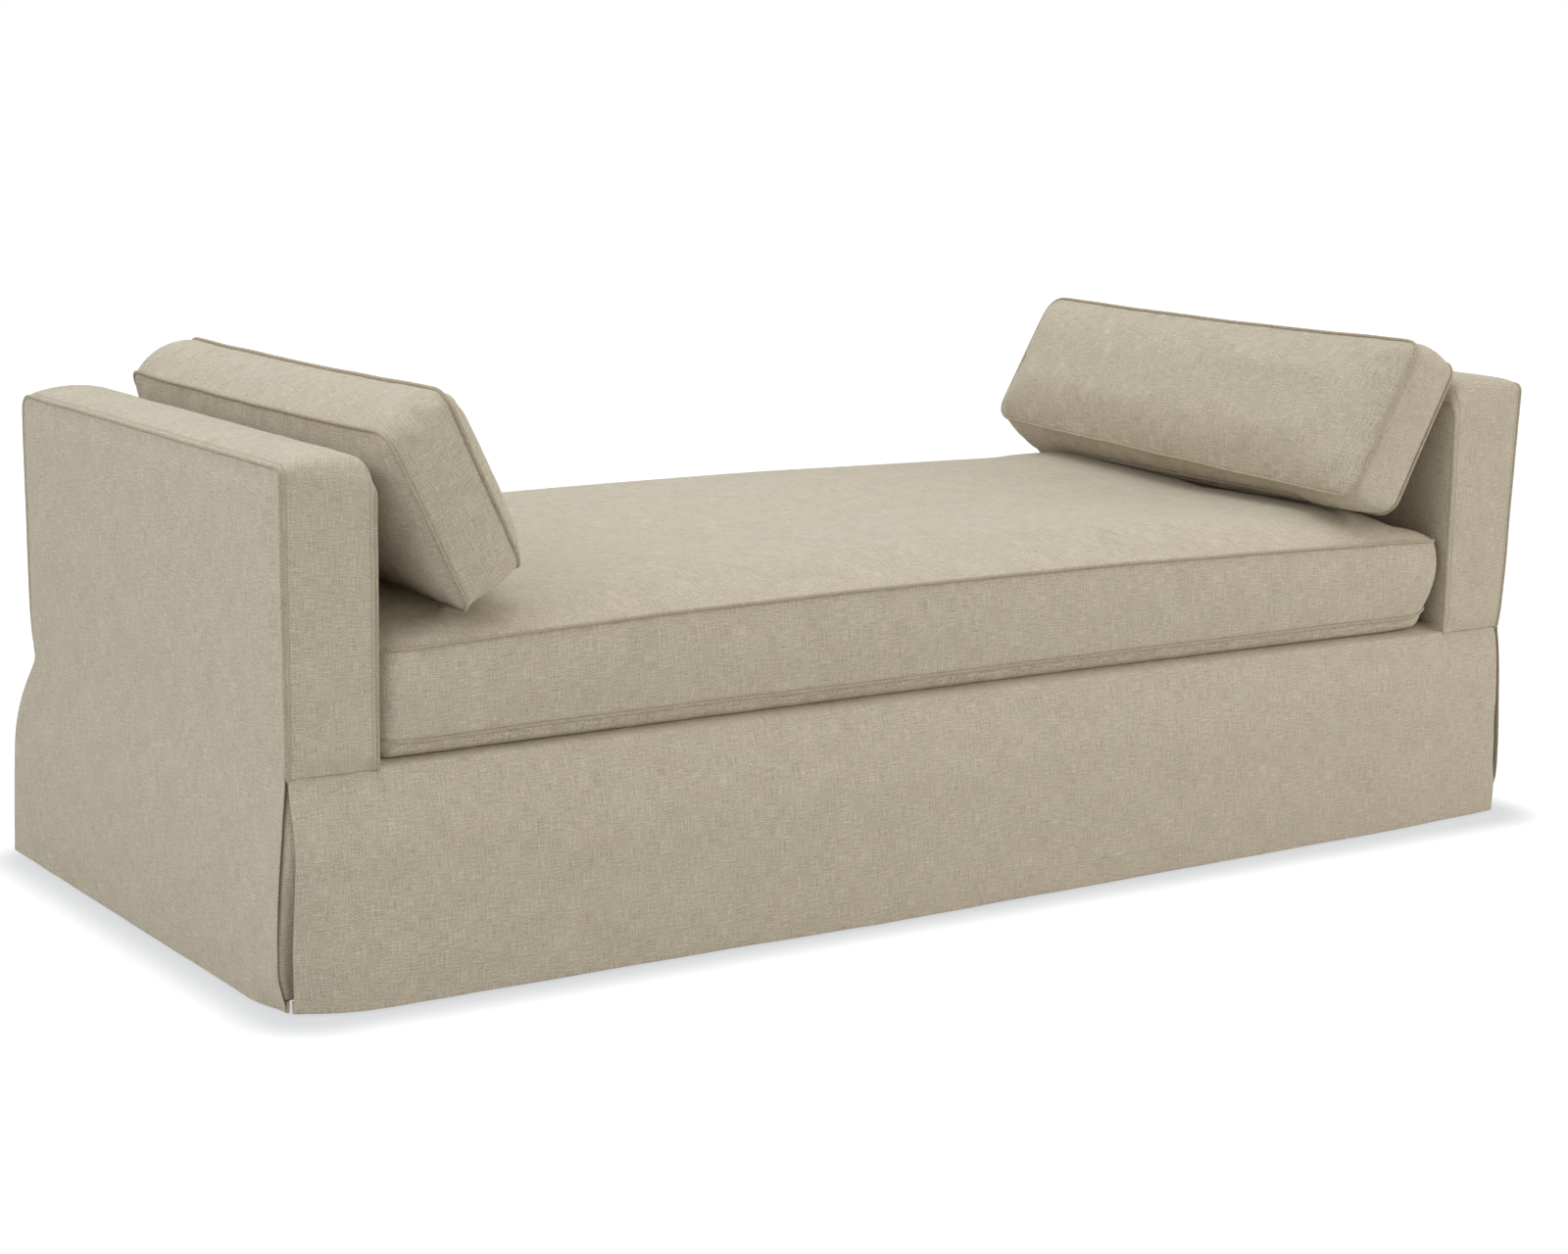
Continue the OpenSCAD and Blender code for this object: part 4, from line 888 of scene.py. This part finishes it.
dust_x = [0.0, 0.0287] + evenly(0.06, leg_x[1] - 0.03, 34) + [leg_x[1] - 0.0003, leg_x[0] + 0.0003, high.x]
dust_y = evenly(0.0, leg_y[1] - 0.03, 12) + [leg_y[1] - 0.0003, leg_y[0] + 0.0003, high.y]
dust = grid_cloth("dust_lining", both_ways(dust_x), both_ways(dust_y), dust_point, (0, 0, -1))


def leg_holes(bm):
    holes = []
    for face in bm.faces:
        x, y, _ = (abs(v) for v in face.calc_center_median())
        if leg_y[1] < y < leg_y[0] and (leg_x[1] < x < leg_x[0] or x < mid_leg):
            holes.append(face)
    bmesh.ops.delete(bm, geom=holes, context="FACES")


reshape(dust.data, leg_holes)
thicken(dust, 0.0004)
fitted(dust, felted, "dust_cover", "base")


# Seat cushion: a foam core between two fibre layers, in a boxed linen cover whose seams
# are piped at the top and bottom. Its back band has a slit for the zip.
def box_grid(name, xs, ys, zs, place, gap):
    """A box of linen faces on a grid, which place puts at the cover's surface. The seams
    round its top and bottom are creased, and the faces that gap names are left out."""
    nx, ny, nz = len(xs) - 1, len(ys) - 1, len(zs) - 1
    bm = bmesh.new()
    bmesh.ops.create_cube(bm, size=1)
    for axis, cuts in enumerate((nx - 1, ny - 1, nz - 1)):
        edges = [e for e in bm.edges if abs((e.verts[0].co - e.verts[1].co)[axis]) > 1e-6]
        bmesh.ops.subdivide_edges(bm, edges=edges, cuts=cuts, use_grid_fill=True)
    spots = {v: (round((v.co.x + 0.5) * nx), round((v.co.y + 0.5) * ny), round((v.co.z + 0.5) * nz))
             for v in bm.verts}
    cut = bm.loops.layers.uv.new("cut")
    crease = bm.edges.layers.float.new("crease_edge")
    for face in bm.faces:
        axis = max(range(3), key=lambda k: abs(face.normal[k]))
        for loop in face.loops:
            i, j, k = spots[loop.vert]
            loop[cut].uv = ((ys[j] + 3 * face.normal.x, zs[k] * 0.12),
                            (xs[i], zs[k] * 0.12 + 2 * face.normal.y),
                            (xs[i], ys[j] + 5 * face.normal.z))[axis]
    outer = {v: i in (0, nx) or j in (0, ny) for v, (i, j, k) in spots.items()}
    for edge in bm.edges:
        a, b = edge.verts
        if spots[a][2] == spots[b][2] and spots[a][2] in (0, nz) and outer[a] and outer[b]:
            if len({tuple(abs(round(c)) for c in f.normal) for f in edge.link_faces}) == 2:
                edge[crease] = 1.0
    gone = [f for f in bm.faces if gap([spots[v] for v in f.verts])]
    rim = {v for f in gone for v in f.verts if any(g not in gone for g in v.link_faces)}
    bmesh.ops.delete(bm, geom=gone, context="FACES")
    for edge in bm.edges:
        if edge.is_boundary:
            edge[crease] = 1.0
    for v, (i, j, k) in spots.items():
        if v.is_valid:
            v.co = place(xs[i], ys[j], zs[k], (k == 0) - (k == nz), outer[v])
    bm.verts.ensure_lookup_table()
    bm.verts.index_update()
    rings = []
    for k in (0, nz):
        ring = [v for v in bm.verts if v in spots and spots[v][2] == k and outer[v]]
        rings.append([v.index for v in sorted(ring, key=lambda v: ring_order(spots[v], nx, ny))])
    fixed = sorted({v.index for v in rim if v.is_valid}.union(*rings))
    return finished(name, bm), rings, fixed


def ring_order(spot, nx, ny):
    """The place of a rim vertex on its way round, from the front left corner."""
    i, j, _ = spot
    if j == 0:
        return i
    if i == nx:
        return nx + j
    return 2 * nx + ny - i if j == ny else 2 * nx + 2 * ny - j


def blown(piece, fixed, pressure, growth, cap):
    """Fills a cover with cloth simulation: its seams are held, its cloth is cut a little
    large and swells, and no point moves further than the cap."""
    mesh = piece.data
    start = [v.co.copy() for v in mesh.vertices]
    group = piece.vertex_groups.new(name="held")
    group.add(fixed, 1.0, "REPLACE")
    cloth_sim = piece.modifiers.new("fill", "CLOTH")
    settings = cloth_sim.settings
    settings.quality = 5
    settings.mass = 0.25
    settings.tension_stiffness = settings.compression_stiffness = 22
    settings.shear_stiffness = 6
    settings.bending_stiffness = 0.35
    settings.use_pressure, settings.uniform_pressure_force = True, pressure
    settings.vertex_group_mass = "held"
    settings.shrink_min = -growth
    settings.effector_weights.gravity = 0
    cloth_sim.collision_settings.use_collision = False
    frames = 20
    cloth_sim.point_cache.frame_start, cloth_sim.point_cache.frame_end = 1, frames
    scene = bpy.context.scene
    for frame_number in range(1, frames + 1):
        scene.frame_set(frame_number)
    moved = piece.evaluated_get(bpy.context.evaluated_depsgraph_get()).to_mesh()
    ends = [v.co.copy() for v in moved.vertices]
    piece.modifiers.remove(cloth_sim)
    piece.vertex_groups.remove(group)
    scene.frame_set(1)
    for v, a, b in zip(mesh.vertices, start, ends):
        step = b - a
        v.co = a + step * min(1.0, cap / max(step.length, 1e-9))


def rounded(x, y, half_x, half_y, radius):
    """A point of a rectangle, moved so that its corners are round."""
    over_x, over_y = abs(x) - (half_x - radius), abs(y) - (half_y - radius)
    if over_x <= 0 or over_y <= 0:
        return x, y
    most = max(over_x, over_y)
    share = math.pi / 4 * (over_y / over_x if over_x >= over_y else 2 - over_x / over_y)
    return (math.copysign(half_x - radius + most * math.cos(share), x),
            math.copysign(half_y - radius + most * math.sin(share), y))


def rim_facing(px, py, y, half_x, half_y, radius):
    """The level direction in which a cushion's boxing faces at a point of it."""
    out = Vector((px - math.copysign(min(abs(px), half_x - radius), px),
                  py - math.copysign(min(abs(py), half_y - radius), py), 0))
    if out.length < 1e-6:
        on_side = abs(y) > half_y - 1e-4
        out = Vector((0, math.copysign(1, py), 0) if on_side else (math.copysign(1, px), 0, 0))
    return out.normalized()


def soft_subdivision(piece, rings):
    """Smooths a cover once more, and gives the places of its seams on the smooth surface."""
    soft = piece.modifiers.new("soft", "SUBSURF")
    soft.levels = soft.render_levels = 1
    soft.boundary_smooth = "PRESERVE_CORNERS"
    bpy.context.view_layer.update()
    smooth = piece.evaluated_get(bpy.context.evaluated_depsgraph_get()).data
    return [[smooth.vertices[k].co.copy() for k in ring] for ring in rings]


seat_x, seat_y, seat_box, seat_round = 0.93309, 0.43809, 0.116, 0.026
seat_centre = Vector((0, 0, 0.3983))


def crown_share(d, reach):
    """How much of a cushion's crown is reached at a distance from its edge."""
    return 1 - max(0.0, 1 - d / reach) ** 2.5


def seat_point(x, y, share, face, rim):
    """A point of the cover: share up the boxing, or on the bottom (1) or top (-1) face."""
    x = max(-seat_x, min(seat_x, x))
    bow = 1 - (x / seat_x) ** 2
    low = -seat_box / 2 - 0.0008 * bow - 0.003 * slope(-0.70, -0.88, x)
    low += 0.008 * slope(0.870, 0.930, x) + 0.003 * slope(-0.89, -0.93, x)
    high = seat_box / 2 + 0.015 * bow
    level = share if not face else (1.0 if face < 0 else 0.0)
    px, py = rounded(x, y, seat_x, seat_y, 0.034 + (1 - level) * (0.028 if x > 0 else -0.014))
    d = min(seat_x - abs(x), seat_y - abs(y))
    if py < 0:
        py += 0.007 * max(0.0, 1 - (x / (seat_x - seat_round)) ** 2) * (-y / seat_y)
    if face and not rim:
        if face < 0:
            back = slope(-0.10, 0.33, y)
            rise = (0.036 + 0.016 * back) * crown_share(d, 0.165 - 0.070 * back)
            rise += slope(0.0, 0.12, d) * 0.0016 * ripple(x, y, 0, 3.3)
            z = high + rise
            load = abs(px) - 0.817
            dent = 0.45 * -load if load < 0 else 1.9 * load
            z = min(z, 0.1060 + 0.010 * slope(0.05, 0.35, y) * (x > 0) + dent)
        else:
            belly = min((seat_y - abs(y)) / 0.022, (seat_x - abs(x)) / (0.022 if x > 0 else 0.009))
            g = math.sqrt(1 - (1 - min(1.0, belly)) ** 2)
            rest = between(nose_open, abs(y)) if abs(y) > 0.394 else 0.3203
            rest += 0.002 * slope(0.80, 0.90, x)
            z = low * (1 - g) + (rest - seat_centre.z) * g
            z += slope(0.06, 0.02, d) * slope(0.0, 0.01, d) * 0.0008 * ripple(x * 26, y * 26, 1)
        return Vector((px, py, z)) + seat_centre
    z = low + (high - low) * share
    if not face:
        swell = 0.0046 * 4 * share * (1 - share)
        swell += 0.0070 * 4 * share * (1 - share) * slope(0.72, 0.93, x)
        swell += 0.0011 * ripple(x * 7, y * 7, z * 12) * 4 * share * (1 - share)
        out = rim_facing(px, py, y, seat_x, seat_y, seat_round)
        if y > seat_y - 1e-4 and abs(x) < 0.66:
            slit = {0.44: 0.39290, 0.56: 0.40960}.get(round(share, 2))
            if slit:
                z = slit - seat_centre.z
        px, py = px + out.x * swell, py + out.y * swell
    p = Vector((px, py, z)) + seat_centre
    return p + Vector((0, 0, 1)) * 0.0011 * ripple(x * 8, y * 8, share)


seat_slit, seat_steps = 0.6503, (0.019, 0.0125, 0.006, 0)
xs = both_ways(evenly(0, seat_slit, 54) + evenly(seat_slit, seat_x - seat_round, 21)[1:]
               + [seat_x - step for step in seat_steps])
ys = both_ways(evenly(0, seat_y - seat_round, 34) + [seat_y - step for step in seat_steps])
zs = [0, 0.08, 0.17, 0.26, 0.35, 0.44, 0.5, 0.56, 0.65, 0.74, 0.83, 0.92, 1]
far = len(ys) - 1


def seat_gap(spots):
    return all(j == far and 5 <= k <= 7 and abs(xs[i]) < seat_slit + 0.0001 for i, j, k in spots)


cover, rings, fixed = box_grid("seat_cover_cloth", xs, ys, zs, seat_point, seat_gap)
flat_under = [v.index for v in cover.data.vertices if v.co.z < 0.3225]
blown(cover, fixed + flat_under, 1.6, 0.006, 0.005)
rings = soft_subdivision(cover, rings)
fitted(cover, linen, "seat_cover", "seat_cushion")


# The fill keeps clear of the cover where its corners are rounded and its ends lift.
corner, fill_round = 0.085, 0.073
for piece in fills["seat_cushion"]:
    for v in piece.data.vertices:
        over_x, over_y = abs(v.co.x) - (seat_x - corner), abs(v.co.y) - (seat_y - corner)
        if over_x > 0 and over_y > 0:
            inside = min(1.0, fill_round / math.hypot(over_x, over_y))
            v.co.x = math.copysign(seat_x - corner + over_x * inside, v.co.x)
            v.co.y = math.copysign(seat_y - corner + over_y * inside, v.co.y)
        lift = 0.010 * slope(0.76, 0.88, v.co.x) + 0.006 * slope(-0.86, -0.92, v.co.x)
        v.co.z = max(v.co.z, 0.3245 + lift + 0.010 * slope(0.36, 0.43, abs(v.co.y)))


def seam_cord(name, ring, off, centre):
    """Piping round a cushion, which stands off the seam along the diagonal of its edge. It
    is drawn into the cover where it turns a corner."""
    count = len(ring)
    turns = [1 - (ring[(k + 2) % count] - p).normalized().dot((p - ring[k - 2]).normalized())
             for k, p in enumerate(ring)]
    line = []
    for k, p in enumerate(ring):
        along = (ring[(k + 1) % count] - ring[k - 1]).normalized()
        turn = sum(turns[(k + step) % count] for step in range(-3, 4)) / 7
        stand = 0.0011 - 0.0026 * slope(0.01, 0.14, turn)
        aside = along.cross(off)
        line.append(p + aside.normalized() * math.copysign(1, aside.dot(p - centre)) * stand + off * stand)
    line = [(line[k - 1] + 2 * p + line[(k + 1) % count]) / 4 for k, p in enumerate(line)]
    return tube(name, line, cord_radius, off, closed=True)


for edge, ring, off in (("bottom", rings[0], Vector((0, 0, -1))), ("top", rings[1], Vector((0, 0, 1)))):
    fitted(seam_cord("seat_" + edge + "_piping", ring, off, seat_centre), piping,
           "seat_" + edge + "_welt", "seat_cushion")


# Zips: woven tape behind the slit with a nylon coil, and a die-cast slider with its pull.
f = Finish("zip_tape")
place = f.object_place()
ribs = f.noise(f.stretched(place, (900, 900, 900)), 1.0, 2.0)
colour = f.mixed(ribs, (0.33, 0.28, 0.21, 1), (0.50, 0.44, 0.34, 1))
wear_nodes(f.wear(colour, 0.8 - 0.1 * ribs, ribs, 0.0003),
           "seat_zip", "left_bolster_zip", "right_bolster_zip")
f = Finish("zip_metal")
place = f.object_place()
worn = f.noise(place, 160.0, 3.0)
cast = f.noise(place, 1500.0, 1.0)
colour = f.ramp(worn, (0.38, (0.20, 0.16, 0.10)), (0.62, (0.46, 0.39, 0.27)))
wear_nodes(f.wear(colour, 0.30 + 0.25 * worn, cast, 0.00005, 0.4, Metallic=1.0),
           "seat_zip_slider", "left_bolster_zip_slider", "right_bolster_zip_slider")


# Bolsters: two boxed cushions of loose fibre, one leaning on each arm. Their seams are
# piped all round both faces, and the band that they stand on has a slit for the zip.
bol_size, welt_in = (0.862, 0.265, 0.102), 0.0021567
bol_x, bol_y, bol_z = 0.431 - welt_in, 0.1325 - welt_in, 0.102 - 2 * welt_in
bol_round = 0.020
box_low, box_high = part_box("left_bolster_welts")
bol_centre = (box_low + box_high) / 2
zip_low, zip_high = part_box("left_bolster_zip")
zip_line = (zip_low + zip_high) / 2
# How a bolster that lies flat at the origin comes to lean on the left arm, and back.
lean = (Matrix.Translation(bol_centre) @ Matrix.Rotation(math.radians(63), 4, "Y")
        @ Matrix.Rotation(math.radians(-90), 4, "Z"))
laid = lean.inverted()
# How far each corner has settled, inwards and up: front end and back end, top and bottom
# edge, the side towards the seat and the side at the arm.
corners = ((0, 0, 1), (0, 0, 0), (0, 1, 1), (0, 1, 0), (1, 0, 1), (1, 0, 0), (1, 1, 1), (1, 1, 0))
settling = {
    -1: ((-0.0006, 0.0076), (0.0061, 0.0014), (-0.0063, 0.0034), (0.0061, -0.0034),
         (0.0185, -0.0020), (0.0136, -0.0020), (0.0195, 0.0), (0.0195, 0.0)),
    1: ((-0.0242, -0.0010), (-0.0150, 0.0060), (-0.0104, -0.0038), (-0.0081, 0.0066),
        (0.0262, 0.0033), (0.0262, 0.0060), (0.0236, 0.0325), (0.0328, 0.0110))}


def settled_bolster(p, sign):
    """A point of a bolster as it has been left: its corners have settled on the seat and
    the arm, and only the zip's line is kept. It gives at the arm."""
    at = laid @ Vector((-abs(p.x), p.y, p.z))
    place = [min(1.0, max(0.0, v)) for v in (0.5 + p.y / bol_size[0], 0.5 + at.y / bol_size[1],
                                             0.5 + at.z / bol_size[2])]
    inwards = up = 0.0
    for corner, (corner_in, corner_up) in zip(corners, settling[sign]):
        weight = math.prod(v if c else 1 - v for c, v in zip(corner, place))
        inwards, up = inwards + weight * corner_in, up + weight * corner_up
    away = Vector((abs(p.x) - abs(zip_line.x), p.z - zip_line.z)).length
    loose = slope(0.010, 0.046, away)
    p = Vector((p.x, p.y, p.z + up * loose))
    x = abs(p.x) - inwards * loose
    y = p.y - 0.009 * slope(0.30, 0.41, abs(p.y))
    if p.z < 0.7105 and abs(y) < 0.445:
        roll = max(0.0, p.z - 0.6785)
        face = 0.9705 - math.sqrt(max(0.0, 0.0325 ** 2 - roll ** 2)) if roll < 0.0325 else 0.9705
        x = min(x, face - 0.0012)
    return Vector((math.copysign(x, sign), y, p.z))


def bolster_point(x, y, share, face, rim, seed):
    """A point of a bolster lying flat: its length along X, its zip side at the back."""
    px, py = rounded(x, y, bol_x, bol_y, bol_round + (0.014 if x < 0 else 0.006))
    d = min(bol_x - abs(x), bol_y - abs(y))
    if py < 0:
        py += 0.005 * max(0.0, 1 - (x / (bol_x - bol_round)) ** 2) * (-y / bol_y)
    shift = noise.noise_vector(Vector((px * 9, py * 9, seed + share))) * 0.0013
    if face and not rim:
        crown, steep = (0.034, 4.5) if face < 0 else (0.026, 3.6)
        rise = bol_z / 2 + crown * (1 - max(0.0, 1 - d / 0.1325) ** steep)
        rise += slope(0.0, 0.06, d) * 0.0022 * ripple(x * 5, y * 5, seed + face)
        return Vector((px, py, -rise * face)) + shift * slope(0.05, 0, d)
    z = (share - 0.5) * bol_z
    if not face:
        swell = 0.0065 * 4 * share * (1 - share) * (1 + 0.4 * ripple(x * 9, y * 9, seed))
        swell += 0.007 * 4 * share * (1 - share) * slope(-0.27, -0.41, x)
        out = rim_facing(px, py, y, bol_x, bol_y, bol_round)
        if y > bol_y - 1e-4:
            swell, shift = 0.002 * 4 * share * (1 - share), shift * 0.3
        px, py = px + out.x * swell, py + out.y * swell
    return Vector((px, py, z)) + shift


bol_slit, bol_steps = 0.290, (0.015, 0.010, 0.005, 0)
xs_b = both_ways(evenly(0, bol_slit, 32) + evenly(bol_slit, bol_x - bol_round, 13)[1:]
                 + [bol_x - step for step in bol_steps])
ys_b = both_ways(evenly(0, bol_y - bol_round, 13) + [bol_y - step for step in bol_steps])
zs_b = [0, 0.11, 0.22, 0.33, 0.44, 0.5, 0.56, 0.67, 0.78, 0.89, 1]
far_b = len(ys_b) - 1


def bolster_gap(spots):
    return all(j == far_b and 4 <= k <= 6 and abs(xs_b[i]) < bol_slit + 0.0001 for i, j, k in spots)


def mirror(bm):
    bmesh.ops.transform(bm, matrix=Matrix.Diagonal((-1, 1, 1, 1)), verts=bm.verts)
    bmesh.ops.reverse_faces(bm, faces=bm.faces)


for side, sign, seed in (("left", -1, 3.0), ("right", 1, 8.0)):
    bolster, rings, fixed = box_grid(
        side + "_bolster_cloth", xs_b, ys_b, zs_b,
        lambda x, y, share, face, rim: bolster_point(x, y, share, face, rim, seed), bolster_gap)
    blown(bolster, fixed, 2.2, 0.012, 0.007)
    bolster.data.transform(lean)
    if sign > 0:
        reshape(bolster.data, mirror)
    for piece in (bolster, *fills[side + "_bolster"]):
        for v in piece.data.vertices:
            v.co = settled_bolster(v.co.copy(), sign)
    centre = Vector((bol_centre.x * -sign, 0, bol_centre.z))
    facing = lean.to_3x3() @ Vector((0, 0, 1))
    facing.x *= -sign
    rings = soft_subdivision(bolster, rings)
    for name, line, off in (("_inner_piping", rings[0], -facing), ("_outer_piping", rings[1], facing)):
        fitted(seam_cord(side + "_bolster" + name, line, off, centre), piping,
               side + "_bolster_welts", side + "_bolster")
    fitted(bolster, linen, side + "_bolster_cover", side + "_bolster")


# Floor: a plain pale floor that shows white to the camera but keeps a small share of the soft shadow.
# Close to the hem a painted shadow of pale grey clears to white further off.
bm = bmesh.new()
bmesh.ops.create_grid(bm, x_segments=1, y_segments=1, size=30)
floor = finished("studio_floor", bm)
f = Finish("pale_floor")
place = f.object_place()
dust_marks = f.noise(place, 1.5, 3.0)
f.wear(f.mixed(dust_marks, (0.79, 0.80, 0.81, 1), (0.81, 0.82, 0.83, 1)), 0.9 - 0.05 * dust_marks)
put_on(floor, f.material)
# Painted shadow: pale grey emission round the hem, mixed to white by the distance from the hem.
beyond = f.node("ShaderNodeVectorMath", {"operation": "SUBTRACT"}, {
    0: f.node("ShaderNodeVectorMath", {"operation": "ABSOLUTE"}, {0: place}), 1: (1.035, 0.435, 0)})
off_hem = f.node("ShaderNodeVectorMath", {"operation": "LENGTH"}, {
    0: f.node("ShaderNodeVectorMath", {"operation": "MAXIMUM"}, {0: beyond, 1: (0, 0, 0)})}, 1)
shade = f.node("ShaderNodeMapRange", {"interpolation_type": "SMOOTHSTEP"}, {
    0: off_hem, 1: 0.047, 2: 0.150})
painted_hem_shadow = f.node("ShaderNodeEmission", {}, {0: (0.732, 0.741, 0.750, 1)})
far_off = f.node("ShaderNodeEmission", {}, {0: (1, 1, 1, 1), 1: 1.22})
white = f.node("ShaderNodeMixShader", {}, {0: shade, 1: painted_hem_shadow, 2: far_off})
shown = f.node("ShaderNodeMixShader", {}, {0: 0.15, 1: white, 2: Value(f, f.shader.outputs[0])})


def show_instead(f, shown, output):
    """Shows another shader to the camera, and in mirrors and glass, than lights the rest."""
    rays = f.node("ShaderNodeLightPath").socket.node.outputs
    clear = (Value(f, rays["Is Camera Ray"]) + Value(f, rays["Is Glossy Ray"])
             + Value(f, rays["Is Transmission Ray"]))
    seen = f.node("ShaderNodeMixShader", {}, {0: clear, 1: Value(f, f.shader.outputs[0]), 2: shown})
    f.tree.links.new(seen.socket, f.tree.nodes[output].inputs[0])


show_instead(f, shown, "Material Output")


# Light: a broad overhead softbox, a smaller one at the left and a warm one in front, in a
# pale room that shows white behind the divan.
def lamp(name, place, aim, size, power, colour):
    light = bpy.data.lights.new(name, "AREA")
    light.shape, light.size, light.size_y = "RECTANGLE", *size
    light.energy, light.color = power, colour
    holder = bpy.data.objects.new(name, light)
    holder.location = place
    holder.rotation_euler = (Vector(aim) - Vector(place)).to_track_quat("-Z", "Y").to_euler()
    bpy.context.scene.collection.objects.link(holder)


lamp("overhead", (-0.15, 0.3, 3.6), (0.1, 0, 0.4), (4.2, 3.4), 64, (0.945, 1.0, 1.070))
lamp("left_side", (-3.8, -0.8, 2.8), (-0.8, 0, 0.5), (2.4, 2.0), 46, (0.940, 1.0, 1.060))
lamp("front", (3.9, -3.6, 2.3), (0.8, 0, 0.3), (3.2, 2.0), 85, (1.0, 0.985, 0.968))

room = Finish("room", "worlds", "Background")
room.feed(room.shader.inputs[0], (1.0, 0.965, 0.910, 1))
room.feed(room.shader.inputs[1], 0.45)
show_instead(room, room.node("ShaderNodeBackground", {}, {0: (1, 1, 1, 1)}), "World Output")
bpy.context.scene.world = room.material
bpy.context.scene.view_settings.view_transform = "Standard"


# Camera: stands to the divan's left and looks down on it a little.
yaw, pitch, roll = 0.590, -0.188, 0.016
ahead = Vector((math.sin(yaw) * math.cos(pitch), math.cos(yaw) * math.cos(pitch), math.sin(pitch)))
right = Vector((math.cos(yaw), -math.sin(yaw), 0))
above = right.cross(ahead)
right, above = (right * math.cos(roll) + above * math.sin(roll),
                above * math.cos(roll) - right * math.sin(roll))
camera = bpy.data.objects.new("camera", bpy.data.cameras.new("camera"))
camera.matrix_world = Matrix.Translation((-2.6480, -3.9117, 1.2284)) @ Matrix(
    (right, above, -ahead)).transposed().to_4x4()
camera.data.sensor_fit, camera.data.sensor_width = "HORIZONTAL", 36
camera.data.lens = 3172 / 1600 * 36
bpy.context.scene.collection.objects.link(camera)
bpy.context.scene.camera = camera
